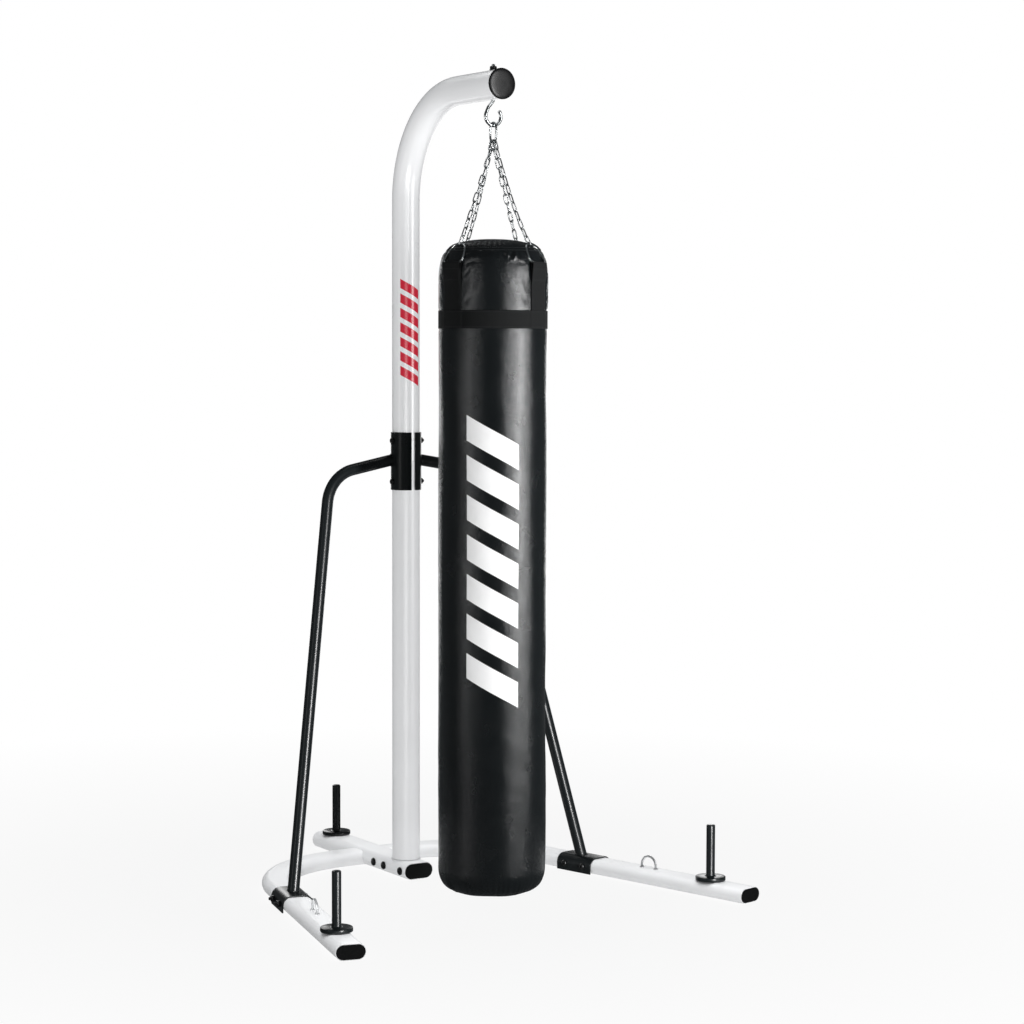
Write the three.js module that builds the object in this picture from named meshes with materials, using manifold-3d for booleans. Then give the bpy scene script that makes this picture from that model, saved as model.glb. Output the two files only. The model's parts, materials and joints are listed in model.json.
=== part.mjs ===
// Heavy punching bag hanging from a free-standing steel stand.
//
// Millimetres, +Z up. The pole's axis stands on the origin, the base lies on z = 0,
// and the arm carries the bag out towards -Y. The stand is symmetric about x = 0.
import * as THREE from 'three';
import { mergeVertices } from 'three/addons/utils/BufferGeometryUtils.js';
import Module from 'manifold-3d';

const wasm = await Module();
wasm.setup();

// ---- driving dimensions -------------------------------------------------------------

const GAP = 0.3; // left between pieces that touch
const WALL = 2.5; // steel wall of the base tubes and the pole
const POLE_SIDES = 20; // facets round the pole

const POLE_RADIUS = 41.3; // 3 1/4 inch tube
const POLE_SPLIT_Z = 1253; // where the lower and the upper pole tube meet
const ARM_Z = 2326; // height of the arm's centre line
const ARM_BEND_RADIUS = 300;
const ARM_REACH = 493; // from the pole's axis to the hook
const ARM_OVERHANG = 44; // from the hook to the arm's open end

const SPINE_WIDTH = 98;
const SPINE_HEIGHT = 50;
const SPINE_FRONT_Y = -76;
const SPINE_REAR_Y = 515;
const SPINE_BOLT_YS = [-50, 50, 112]; // before and behind the pole, and at the shoe's tail

const LEG_WIDTH = 84;
const LEG_HEIGHT = 44;
const LEG_JOIN_Y = 224; // where the legs leave the spine
const LEG_BEND_RADIUS = 380;
const LEG_SPLAY = THREE.MathUtils.degToRad(13.7);
const LEG_TIP = new THREE.Vector2(652, -852);

const SADDLE_FROM_TIP = 650; // along the leg, from its tip to the saddle's middle
const SADDLE_LENGTH = 136;
const SADDLE_THICKNESS = 4;
const SADDLE_BOLT_SPACING = 72;
const LOOP_FROM_TIP = 386; // anchor loop
const PEG_FROM_TIP = 148; // weight peg
const PEG_REAR_Y = 445;

const BRACE_RADIUS = 17;
const BRACE_WALL = 2;
const BRACE_BEND_RADIUS = 120;
const BRACE_CORNER = new THREE.Vector3(267, -18, 1217);
const BRACE_TOP = new THREE.Vector3(30, 9, 1259);

const SLEEVE_WALL = 4.4;
const SLEEVE_HEIGHT = 172;
const SLEEVE_SEAM = 12.5; // width of the open seams at the front and the back
const SLEEVE_BOLT_SPACING = 122;
const COUPLER_HEIGHT = 240;

const PEG_RADIUS = 12.7; // takes plates with a 1 inch hole
const PEG_HEIGHT = 163;
const PEG_DISC_RADIUS = 44;
const PEG_DISC_HEIGHT = 12;

const LOOP_RADIUS = 27;
const LOOP_LEG = 8;
const LOOP_WIRE = 3.5;
const LOOP_FOOT_RADIUS = 7;

const HOOK_WIRE = 5;
const HOOK_BOWL_RADIUS = 25;
const HOOK_BOTTOM_Z = 2213.3; // centre of the wire at the bottom of the bowl
const HOOK_SHANK_TOP_Z = 2384;
const SHANK_RADIUS = 5;

const LINK_WIRE = 3;
const LINK_LENGTH = 62;
const LINK_WIDTH = 38;

const CHAIN_PITCH = 25;
const CHAIN_LINK = { length: 29, width: 14, thickness: 3.5 };

const BAG_RADIUS = 153; // 12 inch bag
const BAG_BOTTOM_Z = 55;
const BAG_LENGTH = 1829; // 6 feet
const BAG_EDGE_RADIUS = 50; // rounding of the bottom edge
const BAG_COVER = 3; // vinyl with its lining
const BAG_FACING = 238.5; // degrees from +X, the direction that the bag's front faces
const BAND_BOTTOM_Z = 1645;
const BAND_HEIGHT = 51;
const WEBBING = 2.5;
const STRAP_WIDTH = 72;
const STRAP_ANGLES = { front_left: -49, front_right: 57, rear_right: 144, rear_left: -140 };
const RING_WIRE = 2.75;
const RING_WIDTH = 80;

// The rings lean in over the bag's shoulder, from the bar in the strap's fold to the tip
// that the chain pulls at. Each point is a radius from the bag's axis and a height.
const RING_BASE = new THREE.Vector2(150.6, 1826);
const RING_TIP = new THREE.Vector2(121, 1880);

// ---- finishes -----------------------------------------------------------------------

function finish(color, roughness, metalness) {
  return new THREE.MeshStandardMaterial({ color, roughness, metalness });
}

const whitePaint = () => finish(0xf2f2f2, 0.35, 0.1);
const blackPaint = () => finish(0x1d2223, 0.4, 0.2);
const blackPlastic = () => finish(0x181a1b, 0.6, 0);
const blackSteel = () => finish(0x141516, 0.45, 0.6);
const zinc = () => finish(0xb4b8ba, 0.3, 0.9);
const vinyl = () => finish(0x15191a, 0.4, 0);
const webbing = () => finish(0x101213, 0.8, 0);
const filling = () => finish(0x8a8478, 0.95, 0);

// ---- geometry helpers ---------------------------------------------------------------

const vector = (x, y, z) => new THREE.Vector3(x, y, z);

function circle(radius, sides) {
  const points = [];
  for (let i = 0; i < sides; i++) {
    const turn = (2 * Math.PI * i) / sides;
    points.push(new THREE.Vector2(radius * Math.cos(turn), radius * Math.sin(turn)));
  }
  return points;
}

// A flat oval standing on its side: x is the height and y the width, as sweep() lays it
// on a level path.
function flatOval(width, height, arcSteps = 6) {
  const radius = height / 2;
  const reach = width / 2 - radius;
  const points = [];
  for (const side of [1, -1]) {
    for (let i = 0; i <= arcSteps; i++) {
      const turn = (Math.PI * i) / arcSteps;
      const x = side * radius * Math.cos(turn);
      points.push(new THREE.Vector2(x, side * (reach + radius * Math.sin(turn))));
    }
  }
  return points;
}

// A path known only at its stations, each a point and the direction there.
class StationCurve extends THREE.Curve {
  constructor(stations) {
    super();
    this.stations = stations;
  }

  station(t) {
    return this.stations[Math.round(t * (this.stations.length - 1))];
  }

  getPointAt(t, target = new THREE.Vector3()) {
    return target.copy(this.station(t).point);
  }

  getTangentAt(t, target = new THREE.Vector3()) {
    return target.copy(this.station(t).direction);
  }
}

// Straight runs between corners, each inner corner rounded to its bend radius.
function bentPath(corners, bendRadii, bendSteps) {
  let direction = corners[1].clone().sub(corners[0]).normalize();
  const stations = [{ point: corners[0], direction }];
  for (let i = 1; i < corners.length - 1; i++) {
    const radius = bendRadii[i - 1];
    const next = corners[i + 1].clone().sub(corners[i]).normalize();
    const angle = direction.angleTo(next);
    const axis = direction.clone().cross(next).normalize();
    const inward = axis.clone().cross(direction);
    const centre = corners[i].clone().addScaledVector(direction, -radius * Math.tan(angle / 2));
    centre.addScaledVector(inward, radius);
    for (let k = 0; k <= bendSteps; k++) {
      const turn = (angle * k) / bendSteps;
      const spoke = inward.clone().negate().applyAxisAngle(axis, turn);
      stations.push({
        point: centre.clone().addScaledVector(spoke, radius),
        direction: direction.clone().applyAxisAngle(axis, turn),
      });
    }
    direction = next;
  }
  stations.push({ point: corners[corners.length - 1], direction });
  return stations;
}

function sweep(outline, hole, stations) {
  const shape = new THREE.Shape(outline);
  if (hole) shape.holes.push(new THREE.Path(hole));
  const extrudePath = new StationCurve(stations);
  return new THREE.ExtrudeGeometry(shape, { steps: stations.length - 1, extrudePath });
}

function straight(outline, hole, start, end) {
  return sweep(outline, hole, bentPath([start, end], [], 0));
}

function rod(radius, start, end, sides = 16) {
  return straight(circle(radius, sides), null, start, end);
}

function pipe(outer, inner, start, end, sides = POLE_SIDES) {
  return straight(circle(outer, sides), circle(inner, sides), start, end);
}

// A profile of [radius, height] pairs turned about +Z.
function turned(profile, sides) {
  const points = profile.map(([radius, height]) => new THREE.Vector2(radius, height));
  return new THREE.LatheGeometry(points, sides).rotateX(Math.PI / 2);
}

function extruded(points, depth, hole = null) {
  const shape = new THREE.Shape(points);
  if (hole) shape.holes.push(new THREE.Path(hole));
  return new THREE.ExtrudeGeometry(shape, { depth, bevelEnabled: false });
}

function toSolid(geometry) {
  const bare = geometry.clone();
  bare.deleteAttribute('normal');
  bare.deleteAttribute('uv');
  const merged = mergeVertices(bare, 1e-4);
  return new wasm.Manifold(
    new wasm.Mesh({
      numProp: 3,
      vertProperties: merged.attributes.position.array,
      triVerts: new Uint32Array(merged.index.array),
    }),
  );
}

function toGeometry(solid) {
  const mesh = solid.getMesh();
  const geometry = new THREE.BufferGeometry();
  geometry.setAttribute('position', new THREE.BufferAttribute(mesh.vertProperties, 3));
  geometry.setIndex(new THREE.BufferAttribute(mesh.triVerts, 1));
  geometry.computeVertexNormals();
  return geometry;
}

function cut(geometry, tools) {
  const body = toSolid(geometry);
  return toGeometry(tools.reduce((rest, tool) => rest.subtract(toSolid(tool)), body));
}

function joined(geometries) {
  const solids = geometries.map(toSolid);
  return toGeometry(solids.reduce((whole, solid) => whole.add(solid)));
}

// ---- scene graph helpers ------------------------------------------------------------

const punchingBagOnStand = new THREE.Group();
const stand = new THREE.Group();
punchingBagOnStand.add(stand);

function place(group, name, geometry, material) {
  const mesh = new THREE.Mesh(geometry, material);
  mesh.name = name;
  group.add(mesh);
  return mesh;
}

// Each side of the stand: its name and the sign of its x.
const SIDES = [
  { side: 'left', sign: -1 },
  { side: 'right', sign: 1 },
];

// ---- base: spine, legs and their joiner ---------------------------------------------

const spineZ = SPINE_HEIGHT / 2;
const legZ = LEG_HEIGHT / 2;
const legDirection = (sign) => vector(sign * Math.sin(LEG_SPLAY), -Math.cos(LEG_SPLAY), 0);
const alongLeg = (sign, fromTip, z) =>
  vector(sign * LEG_TIP.x, LEG_TIP.y, z).addScaledVector(legDirection(sign), -fromTip);

function flatTube(width, height, wall, stations) {
  const hole = flatOval(width - 2 * wall, height - 2 * wall);
  return sweep(flatOval(width, height), hole, stations);
}

const spineLine = (inset) => [
  vector(0, SPINE_FRONT_Y + inset, spineZ),
  vector(0, SPINE_REAR_Y - inset, spineZ),
];

const JOINER_REACH = 88; // half the joiner's length
const joinerWidth = LEG_WIDTH - 2 * WALL - 2 * GAP;
const joinerHeight = LEG_HEIGHT - 2 * WALL - 2 * GAP;
const joinerEnds = [
  vector(-JOINER_REACH, LEG_JOIN_Y, legZ),
  vector(JOINER_REACH, LEG_JOIN_Y, legZ),
];
const BOLT_RADIUS = 4.8;
const BOLT_HOLE = BOLT_RADIUS + 2 * GAP;
const HOLE_SIDES = 8;

// A bolt hole through the stand from side to side.
function crossHole(y, z) {
  return rod(BOLT_HOLE, vector(-120, y, z), vector(120, y, z), HOLE_SIDES);
}

const spineBoltHoles = SPINE_BOLT_YS.map((y) => crossHole(y, spineZ));
const poleHole = rod(
  POLE_RADIUS + GAP,
  vector(0, 0, spineZ),
  vector(0, 0, SPINE_HEIGHT + 10),
  POLE_SIDES,
);
const joinerWindow = straight(
  flatOval(joinerWidth + 2 * GAP, joinerHeight + 2 * GAP),
  null,
  vector(-SPINE_WIDTH, LEG_JOIN_Y, legZ),
  vector(SPINE_WIDTH, LEG_JOIN_Y, legZ),
);

function spine() {
  const tube = flatTube(SPINE_WIDTH, SPINE_HEIGHT, WALL, bentPath(spineLine(0), [], 0));
  return cut(tube, [poleHole, joinerWindow, ...spineBoltHoles]);
}

const shoeWidth = SPINE_WIDTH - 2 * WALL - 2 * GAP;
const shoeHeight = SPINE_HEIGHT - 2 * WALL - 2 * GAP;

// A short inner tube that the pole stands in and the spine's cross bolts hold.
function poleShoe() {
  const ends = [
    vector(0, SPINE_BOLT_YS[0] - 12, spineZ),
    vector(0, SPINE_BOLT_YS[2] + 16, spineZ),
  ];
  const tube = flatTube(shoeWidth, shoeHeight, WALL, bentPath(ends, [], 0));
  return cut(tube, [poleHole, ...spineBoltHoles]);
}

function legStations(sign) {
  const tip = alongLeg(sign, 0, legZ);
  const run = (LEG_JOIN_Y - LEG_TIP.y) / Math.cos(LEG_SPLAY);
  const corner = alongLeg(sign, run, legZ);
  const root = vector(sign * (SPINE_WIDTH / 2 - 13), LEG_JOIN_Y, legZ);
  return bentPath([root, corner, tip], [LEG_BEND_RADIUS], 8);
}

const SADDLE_BOLT_OFFSETS = { front: -SADDLE_BOLT_SPACING / 2, rear: SADDLE_BOLT_SPACING / 2 };
const acrossLeg = (sign) => vector(sign * Math.cos(LEG_SPLAY), Math.sin(LEG_SPLAY), 0);

function saddleBoltHoles(sign) {
  return Object.values(SADDLE_BOLT_OFFSETS).map((offset) => {
    const centre = alongLeg(sign, SADDLE_FROM_TIP + offset, legZ);
    const reach = acrossLeg(sign).multiplyScalar(LEG_WIDTH);
    return rod(BOLT_HOLE, centre.clone().sub(reach), centre.clone().add(reach), HOLE_SIDES);
  });
}

// The leg's root is coped to the spine's rounded side.
function leg(sign) {
  const tube = flatTube(LEG_WIDTH, LEG_HEIGHT, WALL, legStations(sign));
  const spineBody = straight(
    flatOval(SPINE_WIDTH + 2 * GAP, SPINE_HEIGHT + 2 * GAP),
    null,
    ...spineLine(0),
  );
  return cut(tube, [spineBody, ...saddleBoltHoles(sign)]);
}

const CAP_LIP = 3;
const CAP_PLUG = 12;

// An end cap: a lip just inside the tube's outline and a plug inside its bore.
function tubeCap(width, height, end, outward) {
  const lip = straight(
    flatOval(width - 3, height - 3),
    null,
    end.clone().addScaledVector(outward, GAP),
    end.clone().addScaledVector(outward, CAP_LIP),
  );
  const slack = 2 * WALL + 2 * GAP;
  const plug = straight(
    flatOval(width - slack, height - slack),
    null,
    end.clone().addScaledVector(outward, -CAP_PLUG),
    end.clone().addScaledVector(outward, 1),
  );
  return joined([lip, plug]);
}

place(stand, 'base_spine', spine(), whitePaint());
place(stand, 'pole_shoe', poleShoe(), blackSteel());
place(
  stand,
  'leg_joiner',
  flatTube(joinerWidth, joinerHeight, WALL, bentPath(joinerEnds, [], 0)),
  blackSteel(),
);

const [spineFront, spineRear] = spineLine(0);
const frontCap = tubeCap(SPINE_WIDTH, SPINE_HEIGHT, spineFront, vector(0, -1, 0));
const rearCap = tubeCap(SPINE_WIDTH, SPINE_HEIGHT, spineRear, vector(0, 1, 0));
place(stand, 'spine_cap_front', frontCap, blackPlastic());
place(stand, 'spine_cap_rear', rearCap, blackPlastic());

for (const { side, sign } of SIDES) {
  const cap = tubeCap(LEG_WIDTH, LEG_HEIGHT, alongLeg(sign, 0, legZ), legDirection(sign));
  place(stand, `leg_${side}`, leg(sign), whitePaint());
  place(stand, `leg_cap_${side}`, cap, blackPlastic());
}

// ---- bolts and nuts -----------------------------------------------------------------

const HEAD_RADIUS = 9.5;
const SPINE_HEAD_RADIUS = 12;
const HEAD_HEIGHT = 7;
const NUT_HEIGHT = 8;
const NUT_RADIUS = 9.8; // across the corners, halved

// A dome-headed bolt. Its head's seat is at the local origin, its shank runs along -Z.
function bolt(shankLength, headRadius = HEAD_RADIUS) {
  const profile = [
    [0, -shankLength],
    [BOLT_RADIUS, -shankLength],
    [BOLT_RADIUS, 0],
    [headRadius, 0],
    [headRadius, HEAD_HEIGHT * 0.4],
    [headRadius * 0.62, HEAD_HEIGHT * 0.88],
    [0, HEAD_HEIGHT],
  ];
  return turned(profile, 10);
}

// A hexagon nut standing on its local origin.
function nut(boreRadius, cornerRadius = NUT_RADIUS, height = NUT_HEIGHT) {
  return extruded(circle(cornerRadius, 6), height, circle(boreRadius, HOLE_SIDES));
}

// Puts a mesh modelled along +Z at a point, with its +Z turned to a direction.
function aim(mesh, point, direction) {
  mesh.position.copy(point);
  mesh.quaternion.setFromUnitVectors(vector(0, 0, 1), direction);
}

function addBolt(name, seat, outward, shankLength, headRadius) {
  aim(place(stand, name, bolt(shankLength, headRadius), blackSteel()), seat, outward);
}

function addNut(name, seat, outward) {
  aim(place(stand, name, nut(BOLT_HOLE), blackSteel()), seat, outward);
}

const leftward = vector(-1, 0, 0);
const rightward = vector(1, 0, 0);
SPINE_BOLT_YS.forEach((y, i) => {
  const seat = vector(-(SPINE_WIDTH / 2 + GAP), y, spineZ);
  addBolt(`spine_bolt_${i + 1}`, seat, leftward, SPINE_WIDTH - 2 * WALL, SPINE_HEAD_RADIUS);
});

// ---- pole and arm -------------------------------------------------------------------

// The pole's end rests on the curved flanks of the shoe's bore.
const shoeBore = shoeHeight / 2 - WALL;
const shoeReach = (shoeWidth - shoeHeight) / 2;
const poleBottomZ = spineZ - Math.sqrt(shoeBore ** 2 - (POLE_RADIUS - shoeReach) ** 2) + 5 * GAP;

const sleeveBoltZs = {
  lower: POLE_SPLIT_Z - SLEEVE_BOLT_SPACING / 2,
  upper: POLE_SPLIT_Z + SLEEVE_BOLT_SPACING / 2,
};
const sleeveBoltHoles = Object.values(sleeveBoltZs).map((z) => crossHole(0, z));
const sleeveRadius = POLE_RADIUS + GAP + SLEEVE_WALL;
const armEndY = -(ARM_REACH + ARM_OVERHANG);
const poleBore = POLE_RADIUS - WALL;

function poleLower() {
  const ends = [vector(0, 0, poleBottomZ), vector(0, 0, POLE_SPLIT_Z - GAP / 2)];
  return cut(pipe(POLE_RADIUS, poleBore, ...ends), [sleeveBoltHoles[0]]);
}

// One tube: straight up from the sleeve, then bent forward into the arm.
function poleUpper() {
  const corners = [
    vector(0, 0, POLE_SPLIT_Z + GAP / 2),
    vector(0, 0, ARM_Z),
    vector(0, armEndY, ARM_Z),
  ];
  const path = bentPath(corners, [ARM_BEND_RADIUS], 10);
  const tube = sweep(circle(POLE_RADIUS, POLE_SIDES), circle(poleBore, POLE_SIDES), path);
  const shankHole = rod(
    SHANK_RADIUS + 2 * GAP,
    vector(0, -ARM_REACH, ARM_Z - 60),
    vector(0, -ARM_REACH, ARM_Z + 60),
    HOLE_SIDES,
  );
  return cut(tube, [sleeveBoltHoles[1], shankHole]);
}

function poleCoupler() {
  const reach = COUPLER_HEIGHT / 2;
  const outer = poleBore - GAP;
  const low = vector(0, 0, POLE_SPLIT_Z - reach);
  const high = vector(0, 0, POLE_SPLIT_Z + reach);
  return cut(pipe(outer, outer - WALL, low, high), sleeveBoltHoles);
}

// The arm's cap: a domed disc with a lip wider than the tube, and a plug.
function armCap() {
  const lip = POLE_RADIUS + 2.2;
  const profile = [
    [0, -CAP_PLUG],
    [poleBore - 2 * GAP, -CAP_PLUG],
    [poleBore - 2 * GAP, GAP],
    [lip, GAP],
    [lip, 2.6],
    [lip - 3, 4],
    [0, 5],
  ];
  return turned(profile, POLE_SIDES + 4);
}

place(stand, 'pole_lower', poleLower(), whitePaint());
place(stand, 'pole_upper', poleUpper(), whitePaint());
place(stand, 'pole_coupler', poleCoupler(), blackSteel());
const armCapMesh = place(stand, 'arm_end_cap', armCap(), blackPlastic());
aim(armCapMesh, vector(0, armEndY, ARM_Z), vector(0, -1, 0));

// ---- sleeve, braces and saddles -----------------------------------------------------

// Half of the split sleeve that clamps the pole's joint. Its seams face front and back.
function sleeveHalf(sign) {
  const inner = POLE_RADIUS + GAP;
  const arcSteps = 10;
  const arc = (radius) => {
    const start = Math.asin(SLEEVE_SEAM / 2 / radius) - Math.PI / 2;
    const points = [];
    for (let i = 0; i <= arcSteps; i++) {
      const turn = start - (2 * start * i) / arcSteps;
      points.push(new THREE.Vector2(sign * radius * Math.cos(turn), radius * Math.sin(turn)));
    }
    return points;
  };
  const outline = [...arc(sleeveRadius), ...arc(inner + 0.4).reverse()];
  const half = extruded(outline, SLEEVE_HEIGHT);
  half.translate(0, 0, POLE_SPLIT_Z - SLEEVE_HEIGHT / 2);
  return cut(half, sleeveBoltHoles);
}

const saddleTopZ = LEG_HEIGHT + GAP + SADDLE_THICKNESS;

// Welded between the sleeve and the saddle: both its ends are coped.
function brace(sign) {
  const mirrored = (p) => vector(sign * p.x, p.y, p.z);
  const foot = alongLeg(sign, SADDLE_FROM_TIP, 20);
  const path = bentPath(
    [mirrored(BRACE_TOP), mirrored(BRACE_CORNER), foot],
    [BRACE_BEND_RADIUS],
    6,
  );
  const tube = sweep(circle(BRACE_RADIUS, 12), circle(BRACE_RADIUS - BRACE_WALL, 12), path);
  const sleeveBody = rod(sleeveRadius + GAP, vector(0, 0, 1100), vector(0, 0, 1400), 28);
  const saddleBody = new THREE.BoxGeometry(240, 240, 100);
  saddleBody.translate(foot.x, foot.y, saddleTopZ + GAP - 50);
  return cut(tube, [sleeveBody, saddleBody]);
}

// An arched plate over the leg, open below.
function saddle(sign) {
  const arch = (offset, steps = 3) => {
    const radius = legZ + offset;
    const reach = LEG_WIDTH / 2 - legZ;
    const points = [new THREE.Vector2(-1, -(reach + radius))];
    for (const half of [-1, 1]) {
      for (let i = 0; i <= steps; i++) {
        const turn = (Math.PI / 2) * (half < 0 ? i / steps : 1 - i / steps);
        const y = half * (reach + radius * Math.cos(turn));
        points.push(new THREE.Vector2(-(legZ + radius * Math.sin(turn)), y));
      }
    }
    points.push(new THREE.Vector2(-1, reach + radius));
    return points;
  };
  const outline = [...arch(GAP + SADDLE_THICKNESS), ...arch(GAP).reverse()];
  const plate = straight(
    outline,
    null,
    alongLeg(sign, SADDLE_FROM_TIP + SADDLE_LENGTH / 2, 0),
    alongLeg(sign, SADDLE_FROM_TIP - SADDLE_LENGTH / 2, 0),
  );
  return cut(plate, saddleBoltHoles(sign));
}

for (const { side, sign } of SIDES) {
  place(stand, `sleeve_${side}`, sleeveHalf(sign), blackPaint());
  place(stand, `brace_${side}`, brace(sign), blackPaint());
  place(stand, `saddle_${side}`, saddle(sign), blackPaint());

  const inward = acrossLeg(sign).negate();
  const seatReach = LEG_WIDTH / 2 + GAP + SADDLE_THICKNESS + GAP;
  for (const [end, offset] of Object.entries(SADDLE_BOLT_OFFSETS)) {
    const centre = alongLeg(sign, SADDLE_FROM_TIP + offset, legZ);
    const headSeat = centre.clone().addScaledVector(inward, seatReach);
    const nutSeat = centre.clone().addScaledVector(inward, -seatReach);
    addBolt(`saddle_bolt_${side}_${end}`, headSeat, inward, 2 * seatReach + NUT_HEIGHT + 6);
    addNut(`saddle_nut_${side}_${end}`, nutSeat, inward.clone().negate());
  }
}

for (const [level, z] of Object.entries(sleeveBoltZs)) {
  const seat = sleeveRadius + GAP;
  addBolt(`sleeve_bolt_${level}`, vector(-seat, 0, z), leftward, 2 * seat + NUT_HEIGHT + 6);
  addNut(`sleeve_nut_${level}`, vector(seat, 0, z), rightward);
}

// ---- weight pegs and anchor loops ---------------------------------------------------

// A peg welded on its disc, standing on its local origin.
function weightPeg(height) {
  const edge = 2;
  const profile = [
    [0, 0],
    [PEG_DISC_RADIUS - edge, 0],
    [PEG_DISC_RADIUS, edge],
    [PEG_DISC_RADIUS, PEG_DISC_HEIGHT - edge],
    [PEG_DISC_RADIUS - edge, PEG_DISC_HEIGHT],
    [PEG_RADIUS, PEG_DISC_HEIGHT],
    [PEG_RADIUS, height - edge],
    [PEG_RADIUS - edge, height],
    [0, height],
  ];
  return turned(profile, 20);
}

// A welded arch of round bar on two small feet, standing on its local origin along X.
function anchorLoop() {
  const arcSteps = 8;
  const stations = [{ point: vector(-LOOP_RADIUS, 0, 1), direction: vector(0, 0, 1) }];
  for (let i = 0; i <= arcSteps; i++) {
    const turn = Math.PI * (1 - i / arcSteps);
    stations.push({
      point: vector(LOOP_RADIUS * Math.cos(turn), 0, LOOP_LEG + LOOP_RADIUS * Math.sin(turn)),
      direction: vector(Math.sin(turn), 0, -Math.cos(turn)),
    });
  }
  stations.push({ point: vector(LOOP_RADIUS, 0, 1), direction: vector(0, 0, -1) });
  const bar = sweep(circle(LOOP_WIRE, 6), null, stations);
  const feet = [-LOOP_RADIUS, LOOP_RADIUS].map((x) =>
    rod(LOOP_FOOT_RADIUS, vector(x, 0, 0), vector(x, 0, 2.5), 8),
  );
  return joined([bar, ...feet]);
}

for (const { side, sign } of SIDES) {
  const peg = place(stand, `weight_peg_${side}`, weightPeg(PEG_HEIGHT), blackPaint());
  peg.position.copy(alongLeg(sign, PEG_FROM_TIP, LEG_HEIGHT + GAP));

  const loop = place(stand, `anchor_loop_${side}`, anchorLoop(), zinc());
  loop.position.copy(alongLeg(sign, LOOP_FROM_TIP, LEG_HEIGHT + GAP));
  loop.rotation.z = Math.atan2(legDirection(sign).y, legDirection(sign).x);
}

const rearPegHeight = PEG_HEIGHT + LEG_HEIGHT - SPINE_HEIGHT;
const rearPeg = place(stand, 'weight_peg_rear', weightPeg(rearPegHeight), blackPaint());
rearPeg.position.set(0, PEG_REAR_Y, SPINE_HEIGHT + GAP);

// ---- hook ---------------------------------------------------------------------------

const hookGroup = new THREE.Group();
hookGroup.position.y = -ARM_REACH;
stand.add(hookGroup);

// Straight shank, a slant to the left, then the round bowl, open on the right.
function hook() {
  const bowlZ = HOOK_BOTTOM_Z + HOOK_BOWL_RADIUS;
  const bowlAt = (degrees) => {
    const turn = THREE.MathUtils.degToRad(degrees);
    const spoke = vector(Math.cos(turn), 0, Math.sin(turn));
    return {
      point: vector(0, 0, bowlZ).addScaledVector(spoke, HOOK_BOWL_RADIUS),
      direction: vector(-Math.sin(turn), 0, Math.cos(turn)),
    };
  };
  const neckZ = ARM_Z - POLE_RADIUS - 3;
  const bowlFrom = 155;
  const bowlStart = bowlAt(bowlFrom);
  const corners = [
    vector(0, 0, neckZ + 16),
    vector(0, 0, neckZ),
    bowlStart.point.clone().addScaledVector(bowlStart.direction, -17),
    bowlStart.point,
  ];
  const stations = bentPath(corners, [14, 14], 3).slice(0, -1);
  for (let sweepBy = 0; sweepBy <= 240; sweepBy += 16) {
    stations.push(bowlAt(bowlFrom + sweepBy));
  }
  const wire = sweep(circle(HOOK_WIRE, 8), null, stations);
  const shankEnds = [vector(0, 0, neckZ + 4), vector(0, 0, HOOK_SHANK_TOP_Z)];
  return joined([wire, rod(SHANK_RADIUS, ...shankEnds, 10)]);
}

place(hookGroup, 'hook', hook(), zinc());
const armTopZ = ARM_Z + POLE_RADIUS;
const washer = extruded(circle(11, 12), 2, circle(SHANK_RADIUS + 2 * GAP, HOLE_SIDES));
place(hookGroup, 'hook_washer', washer, blackSteel()).position.z = armTopZ + GAP;
const topNut = nut(SHANK_RADIUS + 2 * GAP);
place(hookGroup, 'hook_nut', topNut, blackSteel()).position.z = armTopZ + 2 + 2 * GAP;

// ---- hanger link --------------------------------------------------------------------

// A closed oval of round wire, hanging over the hook's bowl in the YZ plane.
function hangerLink() {
  const endRadius = LINK_WIDTH / 2 - LINK_WIRE;
  const straightHalf = LINK_LENGTH / 2 - LINK_WIRE - endRadius;
  const points = [];
  for (const half of [1, -1]) {
    for (let i = 0; i <= 4; i++) {
      const turn = (Math.PI * i) / 4 + (half > 0 ? 0 : Math.PI);
      const y = endRadius * Math.cos(turn);
      points.push(vector(0, y, half * straightHalf + endRadius * Math.sin(turn)));
    }
  }
  const curve = new THREE.CatmullRomCurve3(points, true, 'centripetal');
  return new THREE.TubeGeometry(curve, 18, LINK_WIRE, 6, true);
}

const linkTopZ = HOOK_BOTTOM_Z + HOOK_WIRE + GAP + 2 * LINK_WIRE;
const linkBottomZ = linkTopZ - LINK_LENGTH;
const hangerLinkMesh = place(punchingBagOnStand, 'hanger_link', hangerLink(), zinc());
hangerLinkMesh.position.set(0, -ARM_REACH, linkTopZ - LINK_LENGTH / 2);

// ---- bag ----------------------------------------------------------------------------

const bag = new THREE.Group();
bag.position.y = -ARM_REACH;
bag.rotation.z = THREE.MathUtils.degToRad(BAG_FACING);
punchingBagOnStand.add(bag);

const bagTopZ = BAG_BOTTOM_Z + BAG_LENGTH;
const TOP_OPENING = 90; // radius of the cover's mouth, which the top panel fills

// The bag's outline from the middle of its bottom to the cover's mouth, moved inwards by
// an inset: [how far below the top, how far inside the full radius] gives the shoulder.
function bagOutline(inset) {
  const shoulder = [
    [96, 0],
    [70, 3],
    [45, 10],
    [18, 26],
  ];
  const edge = BAG_EDGE_RADIUS - inset;
  const outline = [[0, BAG_BOTTOM_Z + inset]];
  for (let i = 0; i <= 3; i++) {
    const turn = (Math.PI / 2) * (i / 3);
    const radius = BAG_RADIUS - BAG_EDGE_RADIUS + edge * Math.sin(turn);
    outline.push([radius, BAG_BOTTOM_Z + BAG_EDGE_RADIUS - edge * Math.cos(turn)]);
  }
  for (const [drop, taper] of shoulder) {
    const lean = taper / 26;
    const radius = BAG_RADIUS - taper - inset * (1 - 0.4 * lean);
    outline.push([radius, bagTopZ - drop - inset * lean]);
  }
  return outline;
}

const BAG_SIDES = 28;

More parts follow.
